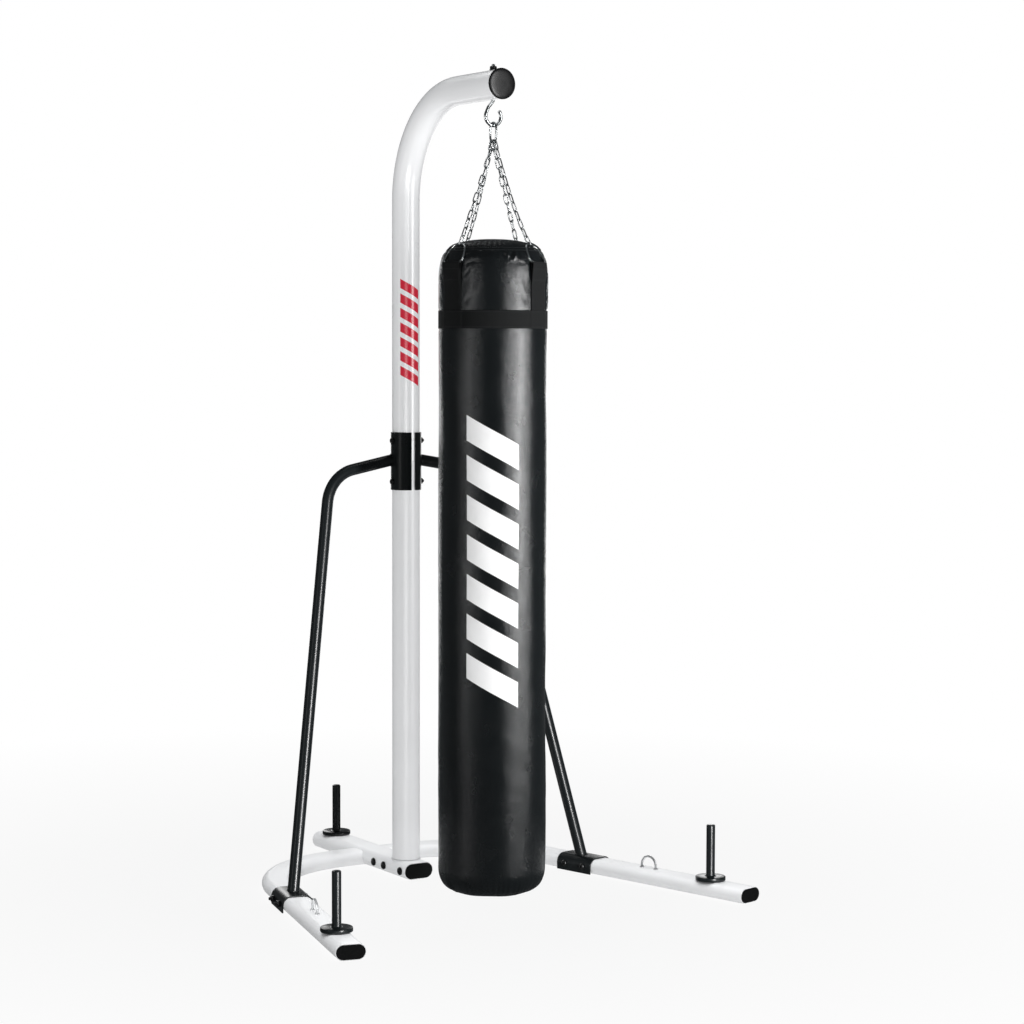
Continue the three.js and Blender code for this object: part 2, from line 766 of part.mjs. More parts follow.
function bagCover() {
  const outside = [...bagOutline(0), [TOP_OPENING + 4, bagTopZ]];
  const inside = [...bagOutline(BAG_COVER), [TOP_OPENING, bagTopZ - BAG_COVER - 1]];
  return turned([...outside, [TOP_OPENING, bagTopZ], ...inside.reverse()], BAG_SIDES);
}

function bagFilling() {
  const top = bagTopZ - BAG_COVER - 8;
  const body = bagOutline(BAG_COVER + 0.6).filter(([, z]) => z < top);
  return turned([...body, [TOP_OPENING - 8, top], [0, top]], BAG_SIDES);
}

function bagTopPanel() {
  const radius = TOP_OPENING - GAP;
  const top = bagTopZ;
  const profile = [
    [0, top - 6],
    [radius, top - 6],
    [radius, top - 1],
    [radius * 0.6, top + 1.5],
    [0, top + 2],
  ];
  return turned(profile, BAG_SIDES);
}

function bagBand() {
  const inner = BAG_RADIUS + 0.7;
  const outer = inner + WEBBING;
  const top = BAND_BOTTOM_Z + BAND_HEIGHT;
  const profile = [
    [inner, BAND_BOTTOM_Z],
    [outer, BAND_BOTTOM_Z],
    [outer, top],
    [inner, top],
    [inner, BAND_BOTTOM_Z],
  ];
  return turned(profile, BAG_SIDES);
}

// A flat strap from the band up the shoulder to its ring, standing at +X.
function strap() {
  const radius = BAG_RADIUS + 0.8;
  const line = [
    [radius, BAND_BOTTOM_Z + BAND_HEIGHT + GAP],
    [radius, bagTopZ - 96],
    [radius - 2, bagTopZ - 70],
    [RING_BASE.x - 2, RING_BASE.y - RING_WIRE - 3],
  ];
  const outer = line.map(([r, z]) => new THREE.Vector2(r + WEBBING, z));
  const inner = line.map(([r, z]) => new THREE.Vector2(r, z));
  const geometry = extruded([...outer, ...inner.reverse()], STRAP_WIDTH);
  return geometry.rotateX(Math.PI / 2).translate(0, STRAP_WIDTH / 2, 0);
}

// A D ring of round wire: its bar lies along Y in the strap's fold and its bow leans up
// the shoulder to the chain.
function ring() {
  const half = RING_WIDTH / 2 - RING_WIRE;
  const lean = RING_TIP.clone().sub(RING_BASE);
  const bowSteps = 8;
  const bow = [];
  for (let i = 0; i <= bowSteps; i++) {
    const turn = (Math.PI * i) / bowSteps;
    const side = Math.sign(Math.cos(turn)) * Math.abs(Math.cos(turn)) ** 0.8;
    bow.push([half * side, 0.12 + 0.88 * Math.sin(turn) ** 0.9]);
  }
  const bar = [-0.9, -0.5, 0.5, 0.9].map((side) => [half * side, 0]);
  const points = [...bar, ...bow].map(([y, rise]) =>
    vector(RING_BASE.x + lean.x * rise, y, RING_BASE.y + lean.y * rise),
  );
  const curve = new THREE.CatmullRomCurve3(points, true, 'centripetal');
  return new THREE.TubeGeometry(curve, 24, RING_WIRE, 6, true);
}

// A taut strand from under the hanger link to the ring's tip: links as closed plates,
// every second one turned by a quarter. Each strand keeps to its own sector where the
// four come together.
function chainStrand() {
  const start = vector(0, 0, linkBottomZ - 0.5);
  const tip = vector(RING_TIP.x - 2, 0, RING_TIP.y + RING_WIRE + 4.5);
  const along = tip.clone().sub(start);
  const count = Math.round(along.length() / CHAIN_PITCH);
  const pitch = along.length() / count;
  const length = pitch + CHAIN_LINK.length - CHAIN_PITCH;
  const outline = flatOval(length, CHAIN_LINK.width, 2);
  const turnToStrand = new THREE.Matrix4().makeBasis(
    vector(0, 1, 0),
    along.clone().normalize(),
    vector(along.z, 0, -along.x).normalize(),
  );
  const links = [];
  for (let i = 0; i < count; i++) {
    const plate = extruded(outline, CHAIN_LINK.thickness);
    plate.translate(0, 0, -CHAIN_LINK.thickness / 2);
    if (i % 2) plate.rotateY(Math.PI / 2);
    const middle = start.clone().addScaledVector(along, (i + 0.5) / count);
    links.push(plate.applyMatrix4(turnToStrand).translate(middle.x, middle.y, middle.z));
  }
  const sectorReach = 200;
  const sectorHalf = sectorReach * Math.tan(THREE.MathUtils.degToRad(37.5));
  const sector = extruded(
    [
      new THREE.Vector2(0.4, 0),
      new THREE.Vector2(sectorReach, -sectorHalf),
      new THREE.Vector2(sectorReach, sectorHalf),
    ],
    start.z - tip.z,
  ).translate(0, 0, tip.z);
  return toGeometry(toSolid(joined(links)).intersect(toSolid(sector)));
}

place(bag, 'bag_cover', bagCover(), vinyl());
place(bag, 'bag_filling', bagFilling(), filling());
place(bag, 'bag_top_panel', bagTopPanel(), vinyl());
place(bag, 'bag_band', bagBand(), webbing());

for (const [corner, degrees] of Object.entries(STRAP_ANGLES)) {
  const quarter = new THREE.Group();
  quarter.rotation.z = THREE.MathUtils.degToRad(degrees);
  bag.add(quarter);
  place(quarter, `strap_${corner}`, strap(), webbing());
  place(quarter, `ring_${corner}`, ring(), zinc());
  place(quarter, `chain_${corner}`, chainStrand(), zinc());
}

export default punchingBagOnStand;
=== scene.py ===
import json
from math import acos, asin, atan2, cos, pi, radians, sin, sqrt, tan

import bmesh
import bpy
import numpy as np
from mathutils import Matrix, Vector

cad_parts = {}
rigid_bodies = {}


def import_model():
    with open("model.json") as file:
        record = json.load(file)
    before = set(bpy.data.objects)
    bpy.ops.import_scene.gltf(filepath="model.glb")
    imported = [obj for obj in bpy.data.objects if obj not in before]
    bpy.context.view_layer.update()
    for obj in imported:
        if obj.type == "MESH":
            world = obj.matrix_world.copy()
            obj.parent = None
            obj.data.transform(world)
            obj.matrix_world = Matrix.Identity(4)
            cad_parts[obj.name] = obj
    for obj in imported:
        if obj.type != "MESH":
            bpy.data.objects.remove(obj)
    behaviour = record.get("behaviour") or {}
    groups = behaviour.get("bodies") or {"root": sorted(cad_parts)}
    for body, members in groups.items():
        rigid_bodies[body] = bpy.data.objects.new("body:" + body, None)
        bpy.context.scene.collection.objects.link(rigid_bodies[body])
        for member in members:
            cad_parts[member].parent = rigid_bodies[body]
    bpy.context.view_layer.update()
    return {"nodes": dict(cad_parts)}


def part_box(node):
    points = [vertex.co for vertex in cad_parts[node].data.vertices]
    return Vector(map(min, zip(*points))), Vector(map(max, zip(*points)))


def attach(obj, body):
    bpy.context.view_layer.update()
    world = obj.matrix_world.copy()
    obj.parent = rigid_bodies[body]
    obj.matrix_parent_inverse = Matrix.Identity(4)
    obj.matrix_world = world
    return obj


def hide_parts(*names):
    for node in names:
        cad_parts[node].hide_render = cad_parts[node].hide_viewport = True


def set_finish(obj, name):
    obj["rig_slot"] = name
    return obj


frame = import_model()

# Looks of a heavy punching bag on its stand. Metres, in the CAD model's own frame: the
# pole stands on the origin, the bag hangs in front of it towards -Y.

# ---- numbers shared with the CAD source ----

WALL = 0.0025
POLE_RADIUS = 0.0413
ARM_BEND_RADIUS = 0.3
LEG_BEND_RADIUS = 0.38
LEG_SPLAY = radians(13.7)
LEG_TIP = (0.652, -0.852)
LEG_JOIN_Y = 0.224
LEG_WIDTH = 0.084
SADDLE_FROM_TIP = 0.65
SADDLE_LENGTH = 0.136
SADDLE_THICKNESS = 0.004
BRACE_RADIUS = 0.017
BRACE_WALL = 0.002
BRACE_BEND_RADIUS = 0.12
BRACE_CORNER = (0.267, -0.018, 1.217)
BRACE_TOP = (0.03, 0.009, 1.259)
BRACE_FOOT_Z = 0.02
SLEEVE_WALL = 0.0044
SLEEVE_SEAM = 0.0125
HOOK_WIRE = 0.005
HOOK_BOWL_RADIUS = 0.025
HOOK_BOTTOM_Z = 2.2133
HOOK_THREAD_RADIUS = 0.005
LINK_WIRE = 0.003
RING_WIRE = 0.00275
RING_WIDTH = 0.08
RING_BASE = (0.1522, 1.826)  # radius from the bag's axis, height
RING_TIP = (0.121, 1.88)
BAG_RADIUS = 0.153
BAG_FACING = radians(238.5)
STRAP_ANGLES = {"front_left": -49, "front_right": 57, "rear_right": 144, "rear_left": -140}
STRAP_WIDTH = 0.072
STANDOFF = 0.0003  # air between parts that sit on one another
CLAMP_AIR = 0.0005  # between the pole and the sleeve

SIDES = (("left", -1), ("right", 1))


def low(node):
    return np.array(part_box(node)[0])


def high(node):
    return np.array(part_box(node)[1])


def middle(node):
    return (low(node) + high(node)) / 2


POLE_SPLIT_Z = low("pole_upper")[2]
ARM_Z = middle("arm_end_cap")[2]
ARM_REACH = -middle("hook_nut")[1]
SPINE_HEIGHT = high("base_spine")[2]
SPINE_WIDTH = high("base_spine")[0] * 2
LEG_HEIGHT = high("leg_left")[2]
SPINE_Z, LEG_Z = SPINE_HEIGHT / 2, LEG_HEIGHT / 2
SLEEVE_RADIUS = POLE_RADIUS + STANDOFF + SLEEVE_WALL
BAG_BOTTOM_Z = low("bag_cover")[2]
BAND_Z = (low("bag_band")[2], high("bag_band")[2])
BAG_AXIS = np.array([0.0, -ARM_REACH, 0.0])

# ---- paths and outlines ----

X, Y, Z = np.eye(3)


def unit(v):
    v = np.asarray(v, float)
    return v / np.linalg.norm(v)


def rotated(v, axis, turn):
    c, s = cos(turn), sin(turn)
    return v * c + np.cross(axis, v) * s + axis * (axis @ v) * (1 - c)


def smoothstep(a, b, x):
    t = np.clip((np.asarray(x, float) - a) / (b - a), 0, 1)
    return t * t * (3 - 2 * t)


def full_turn(count):
    """Turns evenly spaced round a circle."""
    return 2 * np.pi * np.arange(count) / count


def turn_from(angle, degrees):
    """Angles measured from a direction in degrees, between -pi and pi."""
    return (angle - radians(degrees) + np.pi) % (2 * np.pi) - np.pi


def polar(turn, radius, height):
    """Points or directions given by turns about Z, radii and heights."""
    return np.stack(np.broadcast_arrays(radius * np.cos(turn), radius * np.sin(turn), height), -1)


def laid(outline, point, across, up):
    """A flat outline set at a point, with its x along across and its y along up."""
    return point + np.outer(outline[:, 0], across) + np.outer(outline[:, 1], up)


def distances(points):
    """How far along a line each of its points lies."""
    return np.concatenate([[0], np.cumsum(np.linalg.norm(np.diff(points, axis=0), axis=1))])


def sampled(points, at, where):
    """Points at the distances where, on a line whose own points lie at the distances at."""
    return np.stack([np.interp(where, at, column) for column in np.asarray(points).T], 1)


def bent_path(corners, radii, steps):
    """Straight runs with rounded corners, as a list of (point, heading)."""
    corners = [np.array(c, float) for c in corners]
    heading = unit(corners[1] - corners[0])
    path = [(corners[0], heading)]
    for i, radius in enumerate(radii, 1):
        following = unit(corners[i + 1] - corners[i])
        angle = acos(np.clip(heading @ following, -1, 1))
        axis = unit(np.cross(heading, following))
        inward = np.cross(axis, heading)
        centre = corners[i] - heading * radius * tan(angle / 2) + inward * radius
        for k in range(steps + 1):
            turn = angle * k / steps
            path.append((centre + rotated(-inward, axis, turn) * radius, rotated(heading, axis, turn)))
        heading = following
    path.append((corners[-1], heading))
    return path


def closed_path(points):
    """Headings for a loop of points."""
    ahead = np.roll(points, -1, 0) - np.roll(points, 1, 0)
    return [(p, unit(a)) for p, a in zip(points, ahead)]


def circle(radius, count):
    return polar(full_turn(count), radius, 0.0)[:, :2]


def flat_oval(width, height, arc=20):
    radius = height / 2
    turn = np.pi * np.arange(arc + 1) / arc - np.pi / 2
    right = np.stack([width / 2 - radius + radius * np.cos(turn), radius * np.sin(turn)], 1)
    return np.concatenate([right, -right])


def swept(outline, path, side):
    """One row of points for each station of a path; x of the outline lies along side."""
    rows = []
    for point, heading in path:
        across = unit(side - heading * (side @ heading))
        rows.append(laid(outline, point, across, np.cross(heading, across)))
    return np.array(rows)


def turned(profile, count=64):
    """Rows of points for [radius, height] pairs turned about Z. A radius may be one
    number or one for each of the count directions."""
    return np.array([polar(full_turn(count), radius, height) for radius, height in profile])


def hexagon(apothem, count=48):
    return apothem / np.cos((full_turn(count) + np.pi / 6) % (np.pi / 3) - np.pi / 6)


def there_and_back(first, second):
    return np.concatenate([first, second[::-1]])


def aimed(rows, point, direction):
    """Turns rows modelled about +Z to a direction and moves them to a point."""
    direction = unit(direction)
    a = unit(np.cross(Y if abs(direction[1]) < 0.9 else X, direction))
    basis = np.stack([a, np.cross(direction, a), direction])
    return rows @ basis + np.asarray(point)


# ---- meshes ----


class Solid:
    """Points and faces gathered into one mesh, with flat coordinates for weaves and prints."""

    def __init__(self):
        self.points = []
        self.faces = []
        self.corners = []
        self.size = 0

    def add(self, points):
        start = self.size
        self.points.append(np.asarray(points, float).reshape(-1, 3))
        self.size += len(self.points[-1])
        return start

    def face(self, indices, corners=None):
        self.faces.append([int(i) for i in indices])
        self.corners += corners or [(0.0, 0.0)] * len(indices)

    def fan(self, ring, count, tip):
        """Closes a ring of points with triangles to a tip."""
        centre = self.add([tip])
        for j in range(count):
            self.face([ring + j, ring + (j + 1) % count, centre])

    def grid(self, rows, looped=False, u=None, v=None):
        """Quads between rows of points, each row closed on itself."""
        rows = np.asarray(rows, float)
        m, n = rows.shape[:2]
        start = self.add(rows)
        for i in range(m if looped else m - 1):
            k = (i + 1) % m
            for j in range(n):
                o = (j + 1) % n
                corners = None
                if u is not None:
                    corners = [(u[j], v[i]), (u[j + 1], v[i]), (u[j + 1], v[i + 1]), (u[j], v[i + 1])]
                self.face([start + q for q in (i * n + j, i * n + o, k * n + o, k * n + j)], corners)
        return start, start + (m - 1) * n, n

    def looped(self, rows, **flat):
        """A grid whose last row joins its first."""
        self.grid(rows, looped=True, **flat)
        return self

    def capped(self, rows, **flat):
        """A grid with its two ends closed."""
        first, last, n = self.grid(rows, **flat)
        self.face(range(first, first + n))
        self.face(range(last, last + n))
        return self

    def domed(self, rows, tip):
        """A grid closed flat at its start and with a point at its end."""
        first, last, n = self.grid(rows)
        self.fan(last, n, tip)
        self.face(range(first, first + n))
        return self

    def mesh(self, name):
        made = bpy.data.meshes.new(name)
        made.from_pydata(np.concatenate(self.points).tolist(), [], self.faces)
        return made


def wall(faces, **flat):
    """A tube's wall, between the rows of points of its two faces."""
    return Solid().looped(there_and_back(*faces), **flat)


LOOKS = {}


def shown(name, data):
    """Puts a mesh, light or camera into the scene."""
    made = bpy.data.objects.new(name, data)
    bpy.context.scene.collection.objects.link(made)
    return made


def piece(name, solid, body, slot, replaces=(), bevel=0.0, sharp=38, look=None):
    """Makes a mesh object that rides on a body and stands for CAD nodes."""
    mesh = solid.mesh(name)
    flat = mesh.uv_layers.new(name="flat")
    flat.data.foreach_set("uv", np.array(solid.corners, np.float32).ravel())
    work = bmesh.new()
    work.from_mesh(mesh)
    bmesh.ops.recalc_face_normals(work, faces=work.faces)
    work.to_mesh(mesh)
    work.free()
    mesh.shade_smooth()
    mesh.materials.append(LOOKS[look or slot])
    made = shown(name, mesh)
    if bevel:
        edge = made.modifiers.new("edge", "BEVEL")
        edge.width = bevel
        edge.segments = 2
        edge.limit_method = "ANGLE"
        edge.angle_limit = radians(sharp)
        edge.harden_normals = True
    else:
        mesh.set_sharp_from_angle(angle=radians(sharp))
    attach(made, body)
    if replaces:
        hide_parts(*([replaces] if isinstance(replaces, str) else replaces))
    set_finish(made, slot)
    return made


# ---- materials ----


class Shader:
    """A material's nodes: every texture reads the object's own coordinates, in metres."""

    def __init__(self, name, color, roughness, **sockets):
        self.material = bpy.data.materials.new(name)
        self.material.use_nodes = True
        self.material.diffuse_color = (*color, 1)
        self.tree = self.material.node_tree
        self.principled = self.tree.nodes["Principled BSDF"]
        self.finish(Base_Color=color, Roughness=roughness, **sockets)
        self.place = self.tree.nodes.new("ShaderNodeTexCoord").outputs["Object"]
        LOOKS[name] = self.material

    def feed(self, socket, value):
        """Links a socket to another, or gives it a value."""
        if isinstance(value, bpy.types.NodeSocket):
            self.tree.links.new(value, socket)
        else:
            socket.default_value = (*value, 1) if socket.type == "RGBA" else value

    def set(self, node, **values):
        """Sets a node's own settings, and its inputs, whose names start with a capital."""
        for key, value in values.items():
            if key[0].isupper():
                self.feed(node.inputs[key.replace("_", " ")], value)
            else:
                setattr(node, key, value)
        return node

    def node(self, kind, **values):
        return self.set(self.tree.nodes.new(f"ShaderNode{kind}"), **values)

    def finish(self, **values):
        self.set(self.principled, **values)

    def stretched(self, scale):
        return self.node("Mapping", Vector=self.place, Scale=scale).outputs["Vector"]

    def noise(self, scale, detail=3.0, place=None, roughness=0.5):
        return self.node("TexNoise", Vector=place or self.place, Scale=scale, Detail=detail,
                         Roughness=roughness).outputs["Fac"]

    def math(self, operation, a, b=0.0):
        made = self.node("Math", operation=operation)
        self.feed(made.inputs[0], a)
        self.feed(made.inputs[1], b)
        return made.outputs[0]

    def ranged(self, value, low_in, high_in, low_out, high_out):
        return self.node("MapRange", Value=value, From_Min=low_in, From_Max=high_in, To_Min=low_out,
                         To_Max=high_out).outputs["Result"]

    def mixed(self, share, a, b):
        made = self.node("Mix", data_type="RGBA")
        for index, value in ((0, share), (6, a), (7, b)):
            self.feed(made.inputs[index], value)
        return made.outputs[2]

    def bump(self, height, depth, **under):
        """Bump of a height from 0 to 1, with its full depth in metres."""
        return self.node("Bump", Height=height, Distance=depth, Strength=1.0, **under).outputs["Normal"]


def paint(name, color, spots, roughness, peel, **sockets):
    """Powder coat: orange peel, faint unevenness, and small scuffs."""
    s = Shader(name, color, sum(roughness) / 2, **sockets)
    cloud = s.noise(7.0, 4.0)
    scuffs = s.noise(60.0, 6.0, s.stretched((1.0, 1.0, 0.25)), 0.7)
    scuffed = s.ranged(scuffs, 0.7, 0.78, 0.0, 0.35)
    tone = s.mixed(s.ranged(cloud, 0.35, 0.65, 0.0, 1.0), tuple(0.965 * c for c in color), color)
    s.finish(Base_Color=s.mixed(scuffed, tone, spots))
    rough = s.math("ADD", s.ranged(cloud, 0.3, 0.7, *roughness), s.math("MULTIPLY", scuffed, 0.15))
    s.finish(Roughness=rough, Normal=s.bump(s.noise(420.0, 2.0), peel))
    return s


WHITE_COAT, WHITE_SCUFF = (0.86, 0.865, 0.875), (0.7, 0.7, 0.71)
paint("white_paint", WHITE_COAT, WHITE_SCUFF, (0.3, 0.38), 0.0001,
      Coat_Weight=0.12, Coat_Roughness=0.25)
paint("black_paint", (0.006, 0.0078, 0.0086), (0.02, 0.023, 0.024), (0.24, 0.34), 0.00012,
      Specular_IOR_Level=0.4)
paint("black_fasteners", (0.007, 0.0072, 0.0076), (0.03, 0.03, 0.031), (0.26, 0.4), 0.00006)


def steel(name, color, warm, roughness, grain, metallic=1.0):
    """Plated or bare metal with soft blotches and drawing marks, drawn out by grain in Z."""
    s = Shader(name, color, sum(roughness) / 2, Metallic=metallic)
    blotch = s.noise(160.0, 5.0, roughness=0.6)
    marks = s.noise(900.0, 3.0, s.stretched((1.0, 1.0, grain)))
    tone = s.mixed(s.ranged(blotch, 0.35, 0.7, 0.0, 1.0), color, warm)
    worn = s.math("ADD", s.math("MULTIPLY", blotch, 0.6), s.math("MULTIPLY", marks, 0.4))
    s.finish(Base_Color=tone, Roughness=s.ranged(worn, 0.35, 0.65, *roughness), Normal=s.bump(marks, 0.00005))


steel("zinc_steel", (0.56, 0.58, 0.59), (0.4, 0.41, 0.41), (0.14, 0.28), 0.3)
steel("loop_steel", (0.86, 0.87, 0.88), (0.76, 0.77, 0.77), (0.34, 0.46), 0.3, 0.6)
steel("inner_steel", (0.34, 0.34, 0.35), (0.22, 0.21, 0.2), (0.35, 0.55), 0.1)


def moulded():
    """Satin plastic with a fine spark-eroded texture and paler specks."""
    color = (0.0075, 0.008, 0.0085)
    s = Shader("black_plastic", color, 0.5, Specular_IOR_Level=0.35)
    grain = s.noise(1100.0, 4.0, roughness=0.7)
    specks = s.node("TexVoronoi", Vector=s.place, Scale=480.0).outputs["Distance"]
    tone = s.mixed(s.ranged(specks, 0.12, 0.3, 0.45, 0.0), color, (0.06, 0.062, 0.065))
    s.finish(Base_Color=tone, Roughness=s.ranged(grain, 0.3, 0.7, 0.42, 0.62), Normal=s.bump(grain, 0.00022))


moulded()


def satin():
    """Smooth plastic of the arm's cap."""
    s = Shader("satin_plastic", (0.008, 0.008, 0.009), 0.24)
    cloud = s.noise(40.0, 3.0)
    rough = s.ranged(cloud, 0.3, 0.7, 0.2, 0.3)
    tone = s.mixed(cloud, (0.006, 0.006, 0.007), (0.01, 0.01, 0.011))
    s.finish(Base_Color=tone, Roughness=rough, Normal=s.bump(s.noise(900.0, 2.0), 0.00003))


satin()

# The print on the bag and on the pole: slanted bars, one above the other.
PRINT_BARS = 7
PRINT_GAP = 0.36  # share of each bar's pitch left bare
PRINT_SLANT = 0.55  # how much lower a bar ends than it starts, for each metre across
UNPRINTED = 9.0  # flat height of surfaces that no print reaches
BAG_PRINT = (0.591, 0.774, 0.075)  # height of its foot, length, half width
POLE_PRINT = (1.478, 0.3, 0.031)


def bars(s, across, along, foot, length, half_width):
    """A mask of slanted bars: 1 on the print."""
    slanted = s.math("ADD", s.math("SUBTRACT", along, foot), s.math("MULTIPLY", across, PRINT_SLANT))
    step = s.math("DIVIDE", slanted, length / PRINT_BARS)
    inside = s.math("GREATER_THAN", s.math("FRACT", step), PRINT_GAP)
    within = s.math("MULTIPLY", s.math("GREATER_THAN", step, 0.0), s.math("LESS_THAN", step, PRINT_BARS))
    wide = s.math("LESS_THAN", s.math("ABSOLUTE", across), half_width)
    return s.math("MULTIPLY", s.math("MULTIPLY", inside, within), wide)


def flat_coordinates(s):
    """The piece's own flat coordinates: metres across and along its surface."""
    flat = s.node("UVMap", uv_map="flat").outputs["UV"]
    split = s.node("SeparateXYZ", Vector=flat)
    return split.outputs["X"], split.outputs["Y"]


def vinyl(name, printed):
    """Coated fabric: fine pebble grain over soft shallow folds, and a white print."""
    s = Shader(name, (0.0038, 0.005, 0.0056), 0.25, Specular_IOR_Level=0.5)
    pebble = s.node("TexVoronoi", feature="DISTANCE_TO_EDGE", Vector=s.place, Scale=620.0,
                    Randomness=0.9).outputs["Distance"]
    fine = s.noise(1500.0, 3.0)
    cloud = s.noise(14.0, 5.0)
    creases = s.noise(15.0, 2.0, s.stretched((1.0, 1.0, 0.45)), 0.4)
    tone = s.mixed(cloud, (0.0028, 0.004, 0.0046), (0.0048, 0.0062, 0.0069))
    gloss = s.ranged(cloud, 0.3, 0.7, 0.2, 0.29)
    normal = s.bump(creases, 0.0016)
    normal = s.bump(s.ranged(pebble, 0.0, 0.22, 0.0, 1.0), 0.0001, Normal=normal)
    normal = s.bump(fine, 0.00004, Normal=normal)
    if printed:
        mask = bars(s, *flat_coordinates(s), *BAG_PRINT)
        ink = s.mixed(cloud, (0.8, 0.8, 0.8), (0.88, 0.88, 0.88))
        tone = s.mixed(mask, tone, ink)
        gloss = s.ranged(mask, 0.0, 1.0, gloss, 0.48)
    s.finish(Base_Color=tone, Roughness=gloss, Normal=normal)


vinyl("bag_vinyl", True)
vinyl("plain_vinyl", False)


def pole_print():
    """The upper pole's paint with its red bars."""
    s = paint("printed_paint", WHITE_COAT, WHITE_SCUFF, (0.26, 0.34), 0.0001,
              Coat_Weight=1.0, Coat_Roughness=0.18)
    under = s.principled.inputs["Base Color"].links[0].from_socket
    mask = bars(s, *flat_coordinates(s), *POLE_PRINT)
    s.finish(Base_Color=s.mixed(mask, under, (0.64, 0.004, 0.03)))


pole_print()


def woven(name, dark, light, pitch):
    """Flat webbing: ribs along its length crossed by the weft, with loose fuzz, and painted shade in the
    weave's hollows.
    """
    s = Shader(name, dark, 0.82, Sheen_Weight=0.03, Sheen_Roughness=0.5, Specular_IOR_Level=0.25)
    across, along = flat_coordinates(s)
    turns = 2 * pi / pitch
    warp = s.math("SINE", s.math("MULTIPLY", across, turns))
    weft = s.math("SINE", s.math("MULTIPLY", along, turns * 1.4))
    weave = s.math("ADD", s.math("MULTIPLY", s.math("MULTIPLY", warp, weft), 0.5), 0.5)
    ribs = s.math("ADD", s.math("MULTIPLY", warp, 0.5), 0.5)
    fuzz = s.noise(2500.0, 2.0)
    height = s.math("ADD", s.math("MULTIPLY", weave, 0.6), s.math("MULTIPLY", ribs, 0.4))
    # Painted shade: the colour follows the weave's height, darker in its hollows and lighter on its raised
    # threads.
    tone = s.mixed(s.math("MULTIPLY", height, s.ranged(fuzz, 0.3, 0.7, 0.6, 1.0)), dark, light)
    s.finish(Base_Color=tone, Roughness=s.ranged(fuzz, 0.3, 0.7, 0.72, 0.92),
             Normal=s.bump(fuzz, 0.00008, Normal=s.bump(height, 0.00035)))


woven("webbing", (0.0018, 0.0022, 0.0024), (0.0062, 0.007, 0.0074), 0.0032)
woven("thread", (0.014, 0.015, 0.016), (0.05, 0.052, 0.055), 0.0006)


def stuffing():
    """Shredded textile."""
    s = Shader("bag_filling", (0.42, 0.39, 0.35), 0.95)
    tufts = s.noise(90.0, 6.0, roughness=0.7)
    s.finish(Base_Color=s.mixed(tufts, (0.25, 0.24, 0.23), (0.55, 0.5, 0.44)), Normal=s.bump(tufts, 0.003))


stuffing()

for node in ("pole_shoe", "leg_joiner", "pole_coupler"):
    frame["nodes"][node].data.materials.clear()
    frame["nodes"][node].data.materials.append(LOOKS["inner_steel"])

# ---- fasteners ----

BOLT_RADIUS = 0.0048
BASE_BOLT_LENGTH, BASE_HEAD_RADIUS = 0.093, 0.012
CLAMP_BOLT_LENGTH = 0.106
FOOT_BOLT_SPARE = 0.014  # past the saddle's far side
THREADED = 0.028  # length of a bolt's thread
THREAD_PITCH = 0.0014
NUT_APOTHEM, NUT_HEIGHT, NUT_BORE = 0.0085, 0.008, 0.0054


def threads(radius, length):
    """Profile of a threaded rod from height 0 up."""
    turns = int(length / THREAD_PITCH)
    profile = []
    for i in range(turns):
        profile += [(radius, i * THREAD_PITCH), (radius - 0.0006, (i + 0.5) * THREAD_PITCH)]
    return profile + [(radius - 0.0008, turns * THREAD_PITCH)]


def bolt(name, node, seat, outward, length, radius=0.0095):
    """A bolt with a button head and a hexagon socket."""
    head = [(BOLT_RADIUS, 0), (radius - 0.0002, 0), (radius, 0.0006), (radius, 0.002),
            (radius * 0.95, 0.0034), (radius * 0.82, 0.005), (radius * 0.66, 0.0061),
            (0.005, 0.0066), (0.0046, 0.0067), (hexagon(0.003), 0.0067),
            (hexagon(0.0028), 0.0063), (hexagon(0.0028), 0.0034)]
    shank = [(BOLT_RADIUS, 0.0), (BOLT_RADIUS, length - THREADED)]
    shank += [(r, length - THREADED + z) for r, z in threads(BOLT_RADIUS, THREADED)]
    solid = Solid().capped(aimed(turned(head, 48), seat + outward * STANDOFF, outward))
    solid.capped(aimed(turned(shank, 24), seat, -outward))
    piece(name, solid, "stand", "black_fasteners", node)


def nut(name, node, seat, outward):
    """A hexagon nut with chamfered corners."""
    corner = hexagon(NUT_APOTHEM)
    face, chamfer = np.minimum(corner, NUT_APOTHEM * 1.02), np.minimum(corner, NUT_APOTHEM * 1.07)
    profile = [(NUT_BORE, 0), (face, 0), (chamfer, 0.0006), (corner, 0.0016), (corner, NUT_HEIGHT - 0.0016),
               (chamfer, NUT_HEIGHT - 0.0006), (face, NUT_HEIGHT), (NUT_BORE, NUT_HEIGHT)]
    piece(name, Solid().looped(aimed(turned(profile, 48), seat, outward)), "stand", "black_fasteners", node)


for i in (1, 2, 3):
    seat = np.array([-SPINE_WIDTH / 2, middle(f"spine_bolt_{i}")[1], SPINE_Z])
    bolt(f"base_bolt_{i}", f"spine_bolt_{i}", seat, -X, BASE_BOLT_LENGTH, BASE_HEAD_RADIUS)

for level in ("lower", "upper"):
    rise = Z * middle(f"sleeve_bolt_{level}")[2]
    bolt(f"clamp_bolt_{level}", f"sleeve_bolt_{level}", rise - X * SLEEVE_RADIUS, -X, CLAMP_BOLT_LENGTH)
    nut(f"clamp_nut_{level}", f"sleeve_nut_{level}", rise + X * (SLEEVE_RADIUS + STANDOFF), X)


def leg_heading(sign):
    return np.array([sign * sin(LEG_SPLAY), -cos(LEG_SPLAY), 0])


def along_leg(sign, from_tip, z):
    return np.array([sign * LEG_TIP[0], LEG_TIP[1], z]) - leg_heading(sign) * from_tip


def across_leg(sign):
    return np.array([sign * cos(LEG_SPLAY), sin(LEG_SPLAY), 0])


